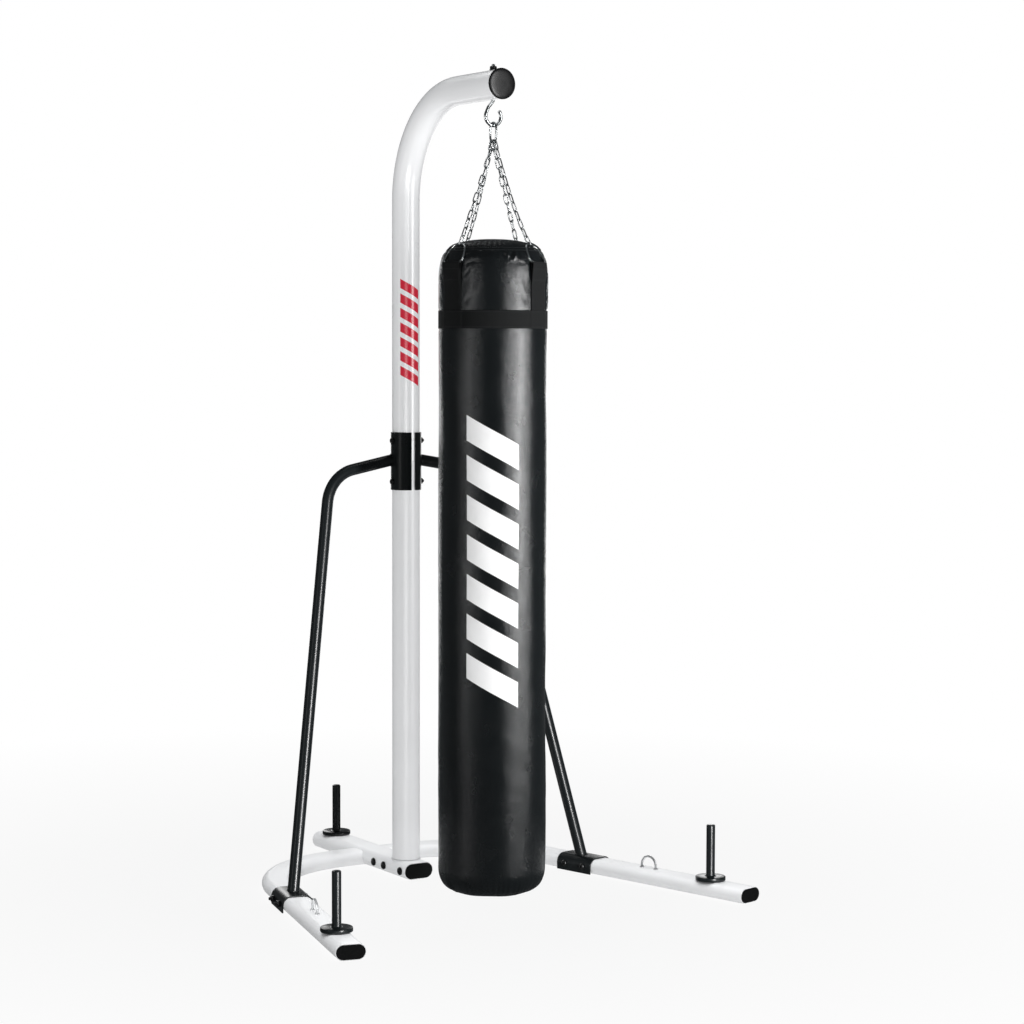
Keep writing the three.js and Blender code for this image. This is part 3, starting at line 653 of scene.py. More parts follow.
SADDLE_BOLT_OFFSET = 0.036
SADDLE_BOLT_REACH = LEG_WIDTH / 2 + SADDLE_THICKNESS + 2 * STANDOFF
for side, sign in SIDES:
    for end, offset in (("front", -SADDLE_BOLT_OFFSET), ("rear", SADDLE_BOLT_OFFSET)):
        centre = along_leg(sign, SADDLE_FROM_TIP + offset, LEG_Z)
        inward = -across_leg(sign)
        bolt(f"foot_bolt_{side}_{end}", f"saddle_bolt_{side}_{end}", centre + inward * SADDLE_BOLT_REACH,
             inward, 2 * SADDLE_BOLT_REACH + FOOT_BOLT_SPARE)
        nut(f"foot_nut_{side}_{end}", f"saddle_nut_{side}_{end}", centre - inward * SADDLE_BOLT_REACH,
            -inward)

# ---- base ----


def flat_tube(width, height, path, meets=0):
    """A flat-oval tube along a level path. With meets, -1 or 1, its first row is cut to
    that side of the centre tube."""
    faces = []
    for inset in (0, WALL):
        outline = flat_oval(width - 2 * inset, height - 2 * inset)
        rows = [laid(outline, point, unit(np.cross(heading, Z)), Z) for point, heading in path]
        if meets:
            drop = np.clip(rows[0][:, 2] - SPINE_Z, -SPINE_Z, SPINE_Z)
            flank = SPINE_WIDTH / 2 - SPINE_Z + np.sqrt(SPINE_Z**2 - drop**2)
            rows[0][:, 0] = meets * (flank + STANDOFF)
        faces.append(rows)
    return wall(faces)


spine_ends = [np.array([0, end("base_spine")[1], SPINE_Z]) for end in (low, high)]
piece("base_tube", flat_tube(SPINE_WIDTH, SPINE_HEIGHT, [(end, Y) for end in spine_ends]), "stand",
      "white_paint", "base_spine", bevel=0.0006)

for side, sign in SIDES:
    run = (LEG_JOIN_Y - LEG_TIP[1]) / cos(LEG_SPLAY)
    root = (sign * (SPINE_WIDTH / 2), LEG_JOIN_Y, LEG_Z)
    corners = [root, along_leg(sign, run, LEG_Z), along_leg(sign, 0, LEG_Z)]
    path = bent_path(corners, [LEG_BEND_RADIUS], 24)
    piece(f"leg_tube_{side}", flat_tube(LEG_WIDTH, LEG_HEIGHT, path, sign), "stand",
          "white_paint", f"leg_{side}", bevel=0.0006)

# A moulded end cap: its plug, then its crowned lip, as [inset from the tube, height].
CAP_PROFILE = ((0.0056, -0.012), (0.0031, -0.01), (0.0031, 0.0004), (0.0024, 0.0004),
               (0.0022, 0.0011), (0.0028, 0.002), (0.0044, 0.0026), (0.01, 0.0029))


def tube_cap(name, node, width, height, end, outward):
    rows = []
    for inset, out in CAP_PROFILE:
        outline = flat_oval(width - 2 * inset, height - 2 * inset)
        rows.append(laid(outline, end + outward * out, unit(np.cross(outward, Z)), Z))
    piece(name, Solid().capped(rows), "stand", "black_plastic", node)


tube_cap("base_plug_front", "spine_cap_front", SPINE_WIDTH, SPINE_HEIGHT, spine_ends[0], -Y)
tube_cap("base_plug_rear", "spine_cap_rear", SPINE_WIDTH, SPINE_HEIGHT, spine_ends[1], Y)
for side, sign in SIDES:
    tube_cap(f"leg_plug_{side}", f"leg_cap_{side}", LEG_WIDTH, LEG_HEIGHT,
             along_leg(sign, 0, LEG_Z), leg_heading(sign))

# ---- pole and arm ----

POLE_SIDES = 72
PRINT_TOWARDS = 259.0  # degrees: the way that the middle of the pole's print faces
WELD_RIPPLE = 0.0045


def weld(solid, loop, radius=0.0022):
    """Adds a rippled bead laid along a closed loop of points."""
    ring = np.concatenate([loop, loop[:1]])
    at = distances(ring)
    count = 4 * max(8, int(at[-1] / WELD_RIPPLE))
    points = sampled(ring, at, np.arange(count) / count * at[-1])
    swell = radius * (1 + 0.16 * np.sin(2 * np.pi * np.arange(count) / 4))
    rows = []
    for size, (point, heading) in zip(swell, closed_path(points)):
        across = unit(np.cross(heading, Z if abs(heading[2]) < 0.9 else X))
        rows.append(laid(circle(size, 8), point, across, np.cross(heading, across)))
    return solid.looped(rows)


def pole(name, node, path, look=None):
    """A round tube with flat coordinates: metres round it from its print, metres up."""
    u = turn_from(2 * np.pi * np.arange(POLE_SIDES + 1) / POLE_SIDES, PRINT_TOWARDS) * POLE_RADIUS
    v = [point[2] for point, _ in path] + [UNPRINTED] * (len(path) + 1)
    faces = [swept(circle(radius, POLE_SIDES), path, X) for radius in (POLE_RADIUS, POLE_RADIUS - WALL)]
    piece(name, wall(faces, u=u, v=v), "stand", "white_paint", node, bevel=0.0005, look=look)


pole("pole_tube_lower", "pole_lower", [(Z * end("pole_lower")[2], Z) for end in (low, high)])
arm_corners = [(0, 0, POLE_SPLIT_Z), (0, 0, ARM_Z), (0, low("pole_upper")[1], ARM_Z)]
pole("pole_tube_upper", "pole_upper", bent_path(arm_corners, [ARM_BEND_RADIUS], 48), "printed_paint")

foot_ring = turned([(POLE_RADIUS, SPINE_HEIGHT)], 60)[0]
piece("pole_foot_weld", weld(Solid(), foot_ring, 0.0024), "stand", "white_paint")

arm_end = arm_corners[-1]
lip = high("arm_end_cap")[0]
profile = [(0.036, -0.012), (0.0382, -0.01), (0.0382, 0.0003), (lip - 0.0006, 0.0003), (lip, 0.0009),
           (lip, 0.0022), (lip - 0.001, 0.0032), (lip - 0.0035, 0.004), (lip * 0.75, 0.0046),
           (lip * 0.45, 0.0049)]
arm_cap = Solid().domed(aimed(turned(profile, 72), arm_end, -Y), arm_end - Y * 0.005)
piece("arm_plug", arm_cap, "stand", "black_plastic", "arm_end_cap", look="satin_plastic")

# ---- sleeve, braces and saddles ----


def clamp(side, sign):
    """Half of the sleeve, which leaves its share of the seams open."""
    faces = []
    for radius in (SLEEVE_RADIUS, POLE_RADIUS + CLAMP_AIR):
        edge = asin(SLEEVE_SEAM / 2 / radius) - pi / 2
        faces.append(polar(np.linspace(edge, -edge, 41), radius, 0.0) * (sign, 1, 0))
    solid = Solid().capped([there_and_back(*faces) + Z * end("sleeve_left")[2] for end in (low, high)])
    piece(f"clamp_{side}", solid, "stand", "black_paint", f"sleeve_{side}", bevel=0.0008)


def brace(side, sign):
    """A bent tube, cut to the sleeve and to the saddle and welded to both."""
    mirrored = np.array([sign, 1, 1])
    corners = [BRACE_TOP * mirrored, BRACE_CORNER * mirrored, along_leg(sign, SADDLE_FROM_TIP, BRACE_FOOT_Z)]
    path = bent_path(corners, [BRACE_BEND_RADIUS], 28)
    bend_axis = unit(np.cross(corners[1] - corners[0], corners[2] - corners[1]))
    start, end = path[0][1], path[-1][1]
    saddle_top = LEG_HEIGHT + SADDLE_THICKNESS + 2 * STANDOFF
    faces = []
    for radius in (BRACE_RADIUS, BRACE_RADIUS - BRACE_WALL):
        rows = swept(circle(radius, 40), path, bend_axis)
        flat = rows[0][:, :2]
        a = start[:2] @ start[:2]
        b = flat @ start[:2]
        c = (flat**2).sum(1) - (SLEEVE_RADIUS + 0.0004) ** 2
        rows[0] += np.outer((-b + np.sqrt(b * b - a * c)) / a, start)
        rows[-1] += np.outer((saddle_top - rows[-1][:, 2]) / end[2], end)
        faces.append(rows)
    solid = weld(weld(wall(faces), faces[0][0]), faces[0][-1])
    piece(f"brace_tube_{side}", solid, "stand", "black_paint", f"brace_{side}", sharp=50)


def saddle(side, sign):
    """A plate bent over the leg, down to just above the floor."""
    half = LEG_WIDTH / 2 - LEG_Z
    turn = np.linspace(0, np.pi, 33)
    faces = []
    for radius in (LEG_Z + STANDOFF + SADDLE_THICKNESS, LEG_Z + STANDOFF):
        reach = np.cos(turn) * radius + np.sign(np.round(np.cos(turn), 9)) * half
        arch = np.stack([reach, LEG_Z + radius * np.sin(turn)], 1)
        faces.append(np.concatenate([[[radius + half, 0.001]], arch, [[-radius - half, 0.001]]]))
    outline = there_and_back(*faces)
    starts = [along_leg(sign, SADDLE_FROM_TIP + step * SADDLE_LENGTH, 0) for step in (0.5, -0.5)]
    solid = Solid().capped([laid(outline, start, across_leg(sign) * sign, Z) for start in starts])
    piece(f"saddle_plate_{side}", solid, "stand", "black_paint", f"saddle_{side}", bevel=0.0008)


for side, sign in SIDES:
    clamp(side, sign)
    brace(side, sign)
    saddle(side, sign)

# ---- weight pegs and anchor loops ----


def weight_peg(name, node):
    """A post on a disc, in one piece with the weld between them."""
    foot = middle(node) * (1, 1, 0) + low(node) * (0, 0, 1)
    tall = high(node)[2] - low(node)[2]
    profile = [(0.0405, 0), (0.043, 0.0006), (0.044, 0.002), (0.044, 0.01), (0.0434, 0.0112),
               (0.042, 0.012), (0.019, 0.012), (0.0152, 0.0126), (0.0134, 0.0144), (0.0127, 0.0172),
               (0.0127, tall - 0.003), (0.0122, tall - 0.0012), (0.0108, tall)]
    piece(name, Solid().capped(turned(profile, 56) + foot), "stand", "black_paint", node, sharp=50)


for where in ("left", "right", "rear"):
    weight_peg(f"plate_post_{where}", f"weight_peg_{where}")

LOOP_FROM_TIP = 0.386
LOOP_RADIUS = 0.027
LOOP_WIRE = 0.0035
PAD = [(0.007, 0), (0.007, 0.0012), (0.0062, 0.0022), (0.0046, 0.0032), (0.0036, 0.0052)]
for side, sign in SIDES:
    foot = along_leg(sign, LOOP_FROM_TIP, LEG_HEIGHT + STANDOFF)
    heading = leg_heading(sign)
    arch = [(foot - heading * LOOP_RADIUS + Z * 0.001, Z)]
    for a in np.linspace(np.pi, 0, 33):
        point = foot + heading * LOOP_RADIUS * cos(a) + Z * (0.008 + LOOP_RADIUS * sin(a))
        arch.append((point, unit(heading * sin(a) - Z * cos(a))))
    arch.append((foot + heading * LOOP_RADIUS + Z * 0.001, -Z))
    solid = Solid().capped(swept(circle(LOOP_WIRE, 16), arch, unit(np.cross(heading, Z))))
    for step in (-LOOP_RADIUS, LOOP_RADIUS):
        solid.capped(turned(PAD, 24) + (foot + heading * step))
    piece(f"cord_eye_{side}", solid, "stand", "zinc_steel", f"anchor_loop_{side}", sharp=55,
          look="loop_steel")

# ---- hook and hanger link ----

BOWL_START = 155  # degrees round the hook's bowl, where its neck joins it
NECK_BEND = 0.014


def bowl_at(degrees):
    """A station of the hook's bowl."""
    a = radians(degrees)
    spoke = np.array([cos(a), 0, sin(a)])
    centre = BAG_AXIS + Z * (HOOK_BOTTOM_Z + HOOK_BOWL_RADIUS)
    return centre + spoke * HOOK_BOWL_RADIUS, np.array([-sin(a), 0, cos(a)])


neck_z = ARM_Z - POLE_RADIUS - 0.003
start_point, start_heading = bowl_at(BOWL_START)
corners = [BAG_AXIS + Z * (neck_z + 0.016), BAG_AXIS + Z * neck_z,
           start_point - start_heading * 0.017, start_point]
hook_path = bent_path(corners, [NECK_BEND, NECK_BEND], 12)[:-1]
hook_path += [bowl_at(BOWL_START + 4 * k) for k in range(61)]
hook_rows = list(swept(circle(HOOK_WIRE, 24), hook_path, Y))
tip_point, tip_heading = hook_path[-1]
for k in range(1, 6):
    a = k * pi / 12
    station = [(tip_point + tip_heading * HOOK_WIRE * 0.8 * sin(a), tip_heading)]
    hook_rows.append(swept(circle(HOOK_WIRE * cos(a), 24), station, Y)[0])
thread_z = neck_z + 0.004
thread = turned(threads(HOOK_THREAD_RADIUS, high("hook")[2] - thread_z), 24)
piece("swing_hook", Solid().capped(hook_rows).capped(thread + BAG_AXIS + Z * thread_z), "stand",
      "zinc_steel", "hook", sharp=60)

bore, rim, thick, ease = 0.0056, 0.011, 0.002, 0.0003
profile = [(bore, 0), (rim - ease, 0), (rim, ease), (rim, thick - ease), (rim - ease, thick), (bore, thick)]
washer = Solid().looped(aimed(turned(profile, 48), BAG_AXIS + Z * low("hook_washer")[2], Z))
piece("shank_washer", washer, "stand", "black_fasteners", "hook_washer")
nut("shank_nut", "hook_nut", BAG_AXIS + Z * low("hook_nut")[2], Z)


def stadium(length, width, count):
    """Points round a link's centre line, in its own plane: x across, y along."""
    radius = width / 2
    straight = length / 2 - radius
    t = full_turn(count)
    return np.stack([radius * np.cos(t), straight * np.tanh(3 * np.sin(t)) + radius * np.sin(t)], 1)


def add_link(solid, centre, along, across, length, width, wire, count, sides):
    """Adds an oval link, given by its outer length and width."""
    points = laid(stadium(length - 2 * wire, width - 2 * wire, count), centre, across, along)
    return solid.looped(swept(circle(wire, sides), closed_path(points), unit(np.cross(across, along))))


link_low, link_high = low("hanger_link"), high("hanger_link")
swivel = add_link(Solid(), middle("hanger_link"), Z, Y, link_high[2] - link_low[2] + 0.0004,
                  link_high[1] - link_low[1] - 0.0008, LINK_WIRE, 64, 18)
piece("swivel_link", swivel, "hanger", "zinc_steel", "hanger_link", sharp=60)

# ---- rings and chains ----

CHAIN_WIRE = 0.0019
LINK_COUNT = 12
LINK_WIDTH, END_LINK_WIDTH = 0.0145, 0.0176
CHAIN_SAG = {"front_right": 0.022, "front_left": 0.002, "rear_right": 0.002, "rear_left": 0.018}
# How far along the hanger link's rounded foot each chain hangs.
HANG_ORDER = {"front_right": -0.0059, "front_left": -0.0021, "rear_right": 0.0021, "rear_left": 0.0059}
LINK_FLOOR = link_low[2] + LINK_WIRE - 0.0002  # height and radius of the foot's centre line
FOOT_RADIUS = (link_high[1] - link_low[1]) / 2 - 0.0004 - LINK_WIRE
SEAT_AIR = 0.0009
SEAT_RADIUS = FOOT_RADIUS - LINK_WIRE - CHAIN_WIRE - SEAT_AIR
rng = np.random.default_rng(7)


def bag_direction(degrees):
    """Outward and sideways directions at an angle from the bag's front."""
    a = BAG_FACING + radians(degrees)
    return np.array([cos(a), sin(a), 0]), np.array([-sin(a), cos(a), 0])


def from_axis(outward, place):
    """The point at a [radius, height] from the bag's axis."""
    return BAG_AXIS + outward * place[0] + Z * place[1]


def d_ring(corner, outward, sideways):
    """A wire ring: a straight bar at its foot, and a bow."""
    base = from_axis(outward, RING_BASE)
    rise = from_axis(outward, RING_TIP) - base
    half = RING_WIDTH / 2 - RING_WIRE
    t = np.linspace(0, np.pi, 49)
    side_way = np.sign(np.cos(t)) * np.abs(np.cos(t)) ** 0.8
    bow = np.stack([half * side_way, 0.12 + 0.88 * np.sin(t) ** 0.9], 1)
    bar = np.stack([np.linspace(-0.92, 0.92, 13) * half, np.zeros(13)], 1)
    loop = np.concatenate([bar, bow])
    for _ in range(3):
        loop = (np.roll(loop, 1, 0) + 2 * loop + np.roll(loop, -1, 0)) / 4
    path = closed_path(laid(loop, base, sideways, rise))
    solid = Solid().looped(swept(circle(RING_WIRE, 14), path, unit(np.cross(sideways, rise))))
    piece(f"d_ring_{corner}", solid, "bag", "zinc_steel", f"ring_{corner}", sharp=60)


def chain(corner, outward):
    """Links, each turned a quarter from the last, from the hanger link down to a ring."""
    order = HANG_ORDER[corner]
    lift = FOOT_RADIUS - sqrt(SEAT_RADIUS**2 - order**2) - CHAIN_WIRE
    bend = FOOT_RADIUS - sqrt(FOOT_RADIUS**2 - order**2)
    lean = unit((outward * RING_TIP[0] + Z * (RING_TIP[1] - LINK_FLOOR)) * (1, 0, 1))
    top = BAG_AXIS + Y * order + Z * (LINK_FLOOR + bend) - lean * (lift - bend)
    bottom = from_axis(outward, RING_TIP) - Z * (RING_WIRE + 0.0002) + outward * 0.0006
    t = np.linspace(0, 1, 121)
    hang = top + np.outer(t, bottom - top) - np.outer(4 * t * (1 - t) * CHAIN_SAG[corner], Z)
    at = distances(hang)
    pitch = at[-1] / LINK_COUNT
    nodes = sampled(hang, at, np.arange(LINK_COUNT + 1) * pitch)
    along = unit(bottom - top)
    first = unit(X - along * (X @ along))
    radial = unit(outward - along * (outward @ along))
    last_turn = atan2(np.cross(first, radial) @ along, first @ radial)
    twist = (last_turn - (LINK_COUNT - 1) * pi / 2 + pi / 2) % pi - pi / 2
    solid = Solid()
    for i in range(LINK_COUNT):
        wobble = rng.uniform(-0.1, 0.1) if 0 < i < LINK_COUNT - 1 else 0.0
        heading = unit(nodes[i + 1] - nodes[i])
        across = rotated(first, along, i * pi / 2 + twist * i / (LINK_COUNT - 1) + wobble)
        across = unit(across - heading * (across @ heading))
        add_link(solid, (nodes[i] + nodes[i + 1]) / 2, heading, across, pitch + 4 * CHAIN_WIRE,
                 LINK_WIDTH if i else END_LINK_WIDTH, CHAIN_WIRE, 32, 10)
    piece(f"link_chain_{corner}", solid, "bag", "zinc_steel", f"chain_{corner}", sharp=60)


for corner, degrees in STRAP_ANGLES.items():
    outward, sideways = bag_direction(degrees)
    d_ring(corner, outward, sideways)
    chain(corner, outward)

# ---- bag ----

BAG_COLUMNS = 288
WALL_TOP_Z = 1.78  # where the shoulder starts
MOUTH = (0.094, 1.8868)  # radius and height of the edge of the mouth
SEAM_Z = 1.8615  # the hem's lower stitching
SEAM_STEP = 0.008  # up to its second row
FOOT_SEAM_Z = 0.059
EDGE_WIDTH, EDGE_HEIGHT = 0.05, 0.066
SAG_ANGLE = 5  # of the bottom panel at its rim
SAG_DROP = 0.006  # how far the filled bottom's edge hangs below its CAD solid
COVER_THICKNESS = 0.0026
STRAP_HALF = 0.235  # angle round the bag of half a strap, in radians


def shoulder(t):
    """The cover's outline from its straight side to its mouth."""
    knots = np.array([[BAG_RADIUS, WALL_TOP_Z], [BAG_RADIUS, 1.85], [0.134, 1.88], MOUTH])
    weights = [(1 - t) ** 3, 3 * (1 - t) ** 2 * t, 3 * (1 - t) * t**2, t**3]
    return np.stack(weights, 1) @ knots


def bag_profile():
    """[radius, height] from the middle of the bottom panel to the mouth."""
    turn = np.linspace(radians(SAG_ANGLE), np.pi / 2, 18)
    foot = BAG_BOTTOM_Z - SAG_DROP
    edge = np.stack([BAG_RADIUS - EDGE_WIDTH + EDGE_WIDTH * np.sin(turn),
                     foot + EDGE_HEIGHT - EDGE_HEIGHT * np.cos(turn)], 1)
    rim_r, rim_z = edge[0]
    inner = np.linspace(0.008, rim_r, 12)[:-1]
    bend = tan(radians(SAG_ANGLE)) * EDGE_HEIGHT / EDGE_WIDTH / (2 * rim_r)
    flat = np.stack([inner, rim_z - bend * (rim_r**2 - inner**2)], 1)
    heights = np.linspace(foot + EDGE_HEIGHT, WALL_TOP_Z, 200)[1:-1]
    upright = np.stack([np.full(len(heights), BAG_RADIUS), heights], 1)
    return np.concatenate([flat, edge, upright, shoulder(np.linspace(0, 1, 48))])


PROFILE = bag_profile()
slope = np.gradient(PROFILE, axis=0)
slope /= np.linalg.norm(slope, axis=1)[:, None]
NORMALS = np.stack([slope[:, 1], -slope[:, 0]], 1)
ANGLES = full_turn(BAG_COLUMNS) - np.pi
waves = np.random.default_rng(11)


def random_waves(count, rounds, heights, least):
    """Waves as (number round the bag, radians for each metre up, phase, size)."""
    return [(waves.integers(*rounds), waves.uniform(*heights), waves.uniform(0, 6.28),
             waves.uniform(least, 1.0)) for _ in range(count)]


FOLDS = random_waves(26, (1, 8), (2.0, 14.0), 0.5)
CREASES = random_waves(14, (3, 9), (30.0, 80.0), 0.4)
PLEATS = random_waves(9, (26, 58), (-30, 30), 0.4)
TUCKS = random_waves(6, (44, 90), (-20, 20), 0.5)

# Single puckers under the hem: [angle, height, half width, half height, lean, size].
PUCKERS = [(11.0, 1.851, 0.0045, 0.009, 0.8, -0.0042), (16.0, 1.848, 0.004, 0.01, 0.6, 0.0032),
           (20.0, 1.846, 0.0042, 0.01, -0.7, -0.0046), (24.5, 1.843, 0.005, 0.012, -0.5, 0.0034),
           (30.0, 1.85, 0.004, 0.008, 0.2, -0.003), (-9.0, 1.85, 0.005, 0.008, -0.5, -0.0024),
           (2.0, 1.852, 0.004, 0.007, 0.3, 0.0022), (-22.0, 1.851, 0.0045, 0.008, 0.4, -0.0026)]
for turn in np.arange(75, 330, 11.0):
    PUCKERS.append((turn + waves.uniform(-4, 4), 1.85 + waves.uniform(-0.003, 0.003), 0.0045, 0.009,
                    waves.uniform(-0.8, 0.8), waves.uniform(-0.004, 0.0025)))


def waving(terms, angle, height, share):
    total = sum(size * np.sin(m * angle + k * height + phase) for m, k, phase, size in terms)
    return share * total / sqrt(len(terms))


def window(z, start, full, ease, end):
    """1 between two heights, easing to 0 outside them."""
    return smoothstep(start, full, z) * smoothstep(end, ease, z)


def groove(off, half_width):
    """A soft dent, 1 in its middle."""
    return np.exp(-((off / half_width) ** 2))


def under_strap(angle, edge):
    """1 under the straps, easing to 0 at a wider angle from their middles."""
    return np.max([smoothstep(edge, STRAP_HALF, np.abs(turn_from(angle, degrees)))
                   for degrees in STRAP_ANGLES.values()], axis=0)


def relief(angle, z):
    """How far the cover stands out of its outline, in metres."""
    angle, z = np.broadcast_arrays(np.asarray(angle, float), np.asarray(z, float))
    out = waving(FOLDS, angle, z, 0.0014)
    out = out + waving(CREASES, angle, z, 0.0003) * (smoothstep(1.5, 0.5, z) * 0.75 + 0.25)
    gathers = waving(PLEATS, angle, z, 0.0018) * (0.45 + 0.55 * np.sin(3 * angle + 1.0) ** 2)
    out = out + gathers * window(z, 1.82, SEAM_Z - 0.01, SEAM_Z - 0.006, SEAM_Z + 0.002)
    for degrees, height, wide, tall, lean, size in PUCKERS:
        off = turn_from(angle, degrees) * BAG_RADIUS + (z - height) * lean
        out = out + size * groove(off, wide) * groove(z - height, tall)
    out = out + waving(TUCKS, angle, z, 0.001) * smoothstep(SEAM_Z, SEAM_Z + 0.004, z)
    out = out - 0.0013 * groove(z - SEAM_Z, 0.0022) - 0.0007 * groove(z - SEAM_Z - SEAM_STEP, 0.0018)
    crinkled = window(z, 0.049, 0.056, 0.07, 0.12) * (0.35 + 0.65 * np.sin(2 * angle + 0.6) ** 2)
    out = out + waving(TUCKS, angle, z, 0.0019) * crinkled - 0.0014 * groove(z - FOOT_SEAM_Z, 0.0014)
    pressed = under_strap(angle, 0.275) * smoothstep(1.7, 1.79, z)
    out = out * (1 - 0.85 * pressed) - 0.002 * pressed * smoothstep(1.87, 1.835, z)
    banded = window(z, 1.634, 1.647, 1.694, 1.707)
    out = out * (1 - 0.8 * banded) - 0.0012 * banded
    lap = smoothstep(0.05, 0.042, np.abs(turn_from(angle, 180))) * window(z, 0.1, 0.13, 1.75, 1.78)
    return out + 0.0008 * lap


def on_bag(angle, radius, z):
    """Points at angles from the bag's front, in radians."""
    return polar(BAG_FACING + np.asarray(angle, float), radius, z) + BAG_AXIS


def raised(station, angle, shift):
    """Points round the cover at a station of its outline, moved out by a shift."""
    return on_bag(angle, *(PROFILE[station] + np.multiply.outer(shift, NORMALS[station])).T)


# The free fabric between the band and the hem is settled by the cloth solver.
CLOTH_FROM_Z = 1.69  # the band's top edge
CLOTH_FRAMES = 24
CLOTH_CAP = 0.008  # how far a point of the fabric may move
# The shrinking is negative: the fabric is 0.6% too long on the wall and 7.5% at the hem.
FABRIC = {"quality": 6, "mass": 0.25, "tension_stiffness": 20, "compression_stiffness": 20,
          "shear_stiffness": 8, "bending_stiffness": 0.5, "air_damping": 2, "use_pressure": True,
          "uniform_pressure_force": 3.0, "shrink_min": -0.006, "shrink_max": -0.075,
          "vertex_group_shrink": "gathered", "vertex_group_mass": "held"}


def held_share(angle, z):
    """How firmly the band, the hem and the straps hold the fabric, from 0 to 1."""
    held = np.maximum(smoothstep(CLOTH_FROM_Z + 0.012, CLOTH_FROM_Z + 0.004, z),
                      smoothstep(SEAM_Z - 0.003, SEAM_Z + 0.001, z))
    return np.maximum(held, under_strap(angle, 0.262))


def weigh(fabric, name, weights):
    """Stores a weight for each vertex as a vertex group."""
    group = fabric.vertex_groups.new(name=name)
    weights = np.round(weights, 2)
    for level in np.unique(weights):
        group.add(np.flatnonzero(weights == level).tolist(), float(level), "REPLACE")


def settled_cloth():
    """How far the cover's fabric comes to rest out of its outline, for each vertex.

    The top of the cover is cut a little too large for the space between the band, the hem
    and the straps, blown up by the filling, and settled by the cloth solver."""
    start = int(np.argmax((PROFILE[:, 1] > CLOTH_FROM_Z) & (PROFILE[:, 0] > 0.1)))
    stations = range(start, len(PROFILE))
    rows = np.array([raised(i, ANGLES, relief(ANGLES, PROFILE[i, 1])) for i in stations])
    normals = np.array([polar(BAG_FACING + ANGLES, *NORMALS[i]) for i in stations])
    solid = Solid()
    solid.grid(rows)
    mesh = solid.mesh("fabric")
    fabric = shown("fabric", mesh)
    weigh(fabric, "held", np.ravel([held_share(ANGLES, z) for z in PROFILE[start:, 1]]))
    near_hem = smoothstep(1.79, SEAM_Z - 0.004, PROFILE[start:, 1])
    weigh(fabric, "gathered", np.repeat(near_hem, BAG_COLUMNS))
    modifier = fabric.modifiers.new("cloth", "CLOTH")
    for setting, value in FABRIC.items():
        setattr(modifier.settings, setting, value)
    modifier.settings.effector_weights.gravity = 0
    modifier.collision_settings.use_collision = False
    modifier.point_cache.frame_start, modifier.point_cache.frame_end = 1, CLOTH_FRAMES
    for number in range(1, CLOTH_FRAMES + 1):
        bpy.context.scene.frame_set(number)
    shaped = fabric.evaluated_get(bpy.context.evaluated_depsgraph_get()).to_mesh()
    points = np.zeros(len(shaped.vertices) * 3)
    shaped.vertices.foreach_get("co", points)
    bpy.data.objects.remove(fabric)
    bpy.data.meshes.remove(mesh)
    bpy.context.scene.frame_set(1)
    out = ((points.reshape(rows.shape) - rows) * normals).sum(-1)
    moved = np.zeros((len(PROFILE), BAG_COLUMNS))
    moved[start:] = CLOTH_CAP * np.tanh(out / CLOTH_CAP)
    return moved


SETTLED = settled_cloth()


def cover_rows(inset, stations):
    """The finished cover's rows of points, moved in by an inset."""
    rows = []
    for i in stations:
        radius, z = PROFILE[i]
        shift = (relief(ANGLES, z) + SETTLED[i] - inset) * min(1.0, radius / 0.1)
        rows.append(raised(i, ANGLES, shift))
    return rows


inside_stations = [*range(0, len(PROFILE), 8), len(PROFILE) - 1]
rows = cover_rows(0.0, range(len(PROFILE))) + cover_rows(COVER_THICKNESS, inside_stations)[::-1]
cover_solid = Solid()
u = np.append(ANGLES, np.pi) * BAG_RADIUS
v = np.append(PROFILE[:, 1], [UNPRINTED] * len(inside_stations))
first, last, n = cover_solid.grid(rows, u=u, v=v)
cover_solid.fan(first, n, BAG_AXIS + Z * PROFILE[0, 1])
cover_solid.fan(last, n, BAG_AXIS + Z * (PROFILE[0, 1] + COVER_THICKNESS))
cover = piece("vinyl_cover", cover_solid, "bag", "bag_vinyl", "bag_cover", sharp=60)

CORE_SHARE, CORE_TOP_Z, CORE_LIFT = 0.915, 1.84, 0.016
core = [(r * CORE_SHARE, z + CORE_LIFT) for r, z in PROFILE[8::4] if z < CORE_TOP_Z]
piece("shredded_core", Solid().capped(turned(core, 72) + BAG_AXIS), "bag", "bag_filling", "bag_filling")

panel = []
for radius, z in ((0.0905, 1.879), (0.0925, 1.88), (0.093, 1.8835), (0.0905, 1.8862), (0.08, 1.889),
                  (0.06, 1.8925), (0.04, 1.8948), (0.02, 1.8958)):
    ripple = waving(TUCKS, ANGLES, z, 0.0006) * smoothstep(0.02, 0.06, radius)
    panel.append(on_bag(ANGLES, radius, z + ripple))
top_panel = Solid().domed(panel, BAG_AXIS + Z * 1.896)
piece("top_panel", top_panel, "bag", "bag_vinyl", "bag_top_panel", look="plain_vinyl")

# ---- webbing ----

TAPE = 0.0018
BAND_COLUMNS = 360
ON_COVER, TO_RING = 22, 14  # a strap's stations up the cover, and on to its ring
band_angles = full_turn(BAND_COLUMNS)
band_mid = BAG_RADIUS - 0.0006 + TAPE / 2 + under_strap(band_angles, 0.275) * (TAPE + 0.0002)


def band_radius(angle, middles, out):
    """The band's radius, a distance out of its middle layer: it isn't quite round."""
    return middles + out + 0.0003 * np.sin(5 * angle)


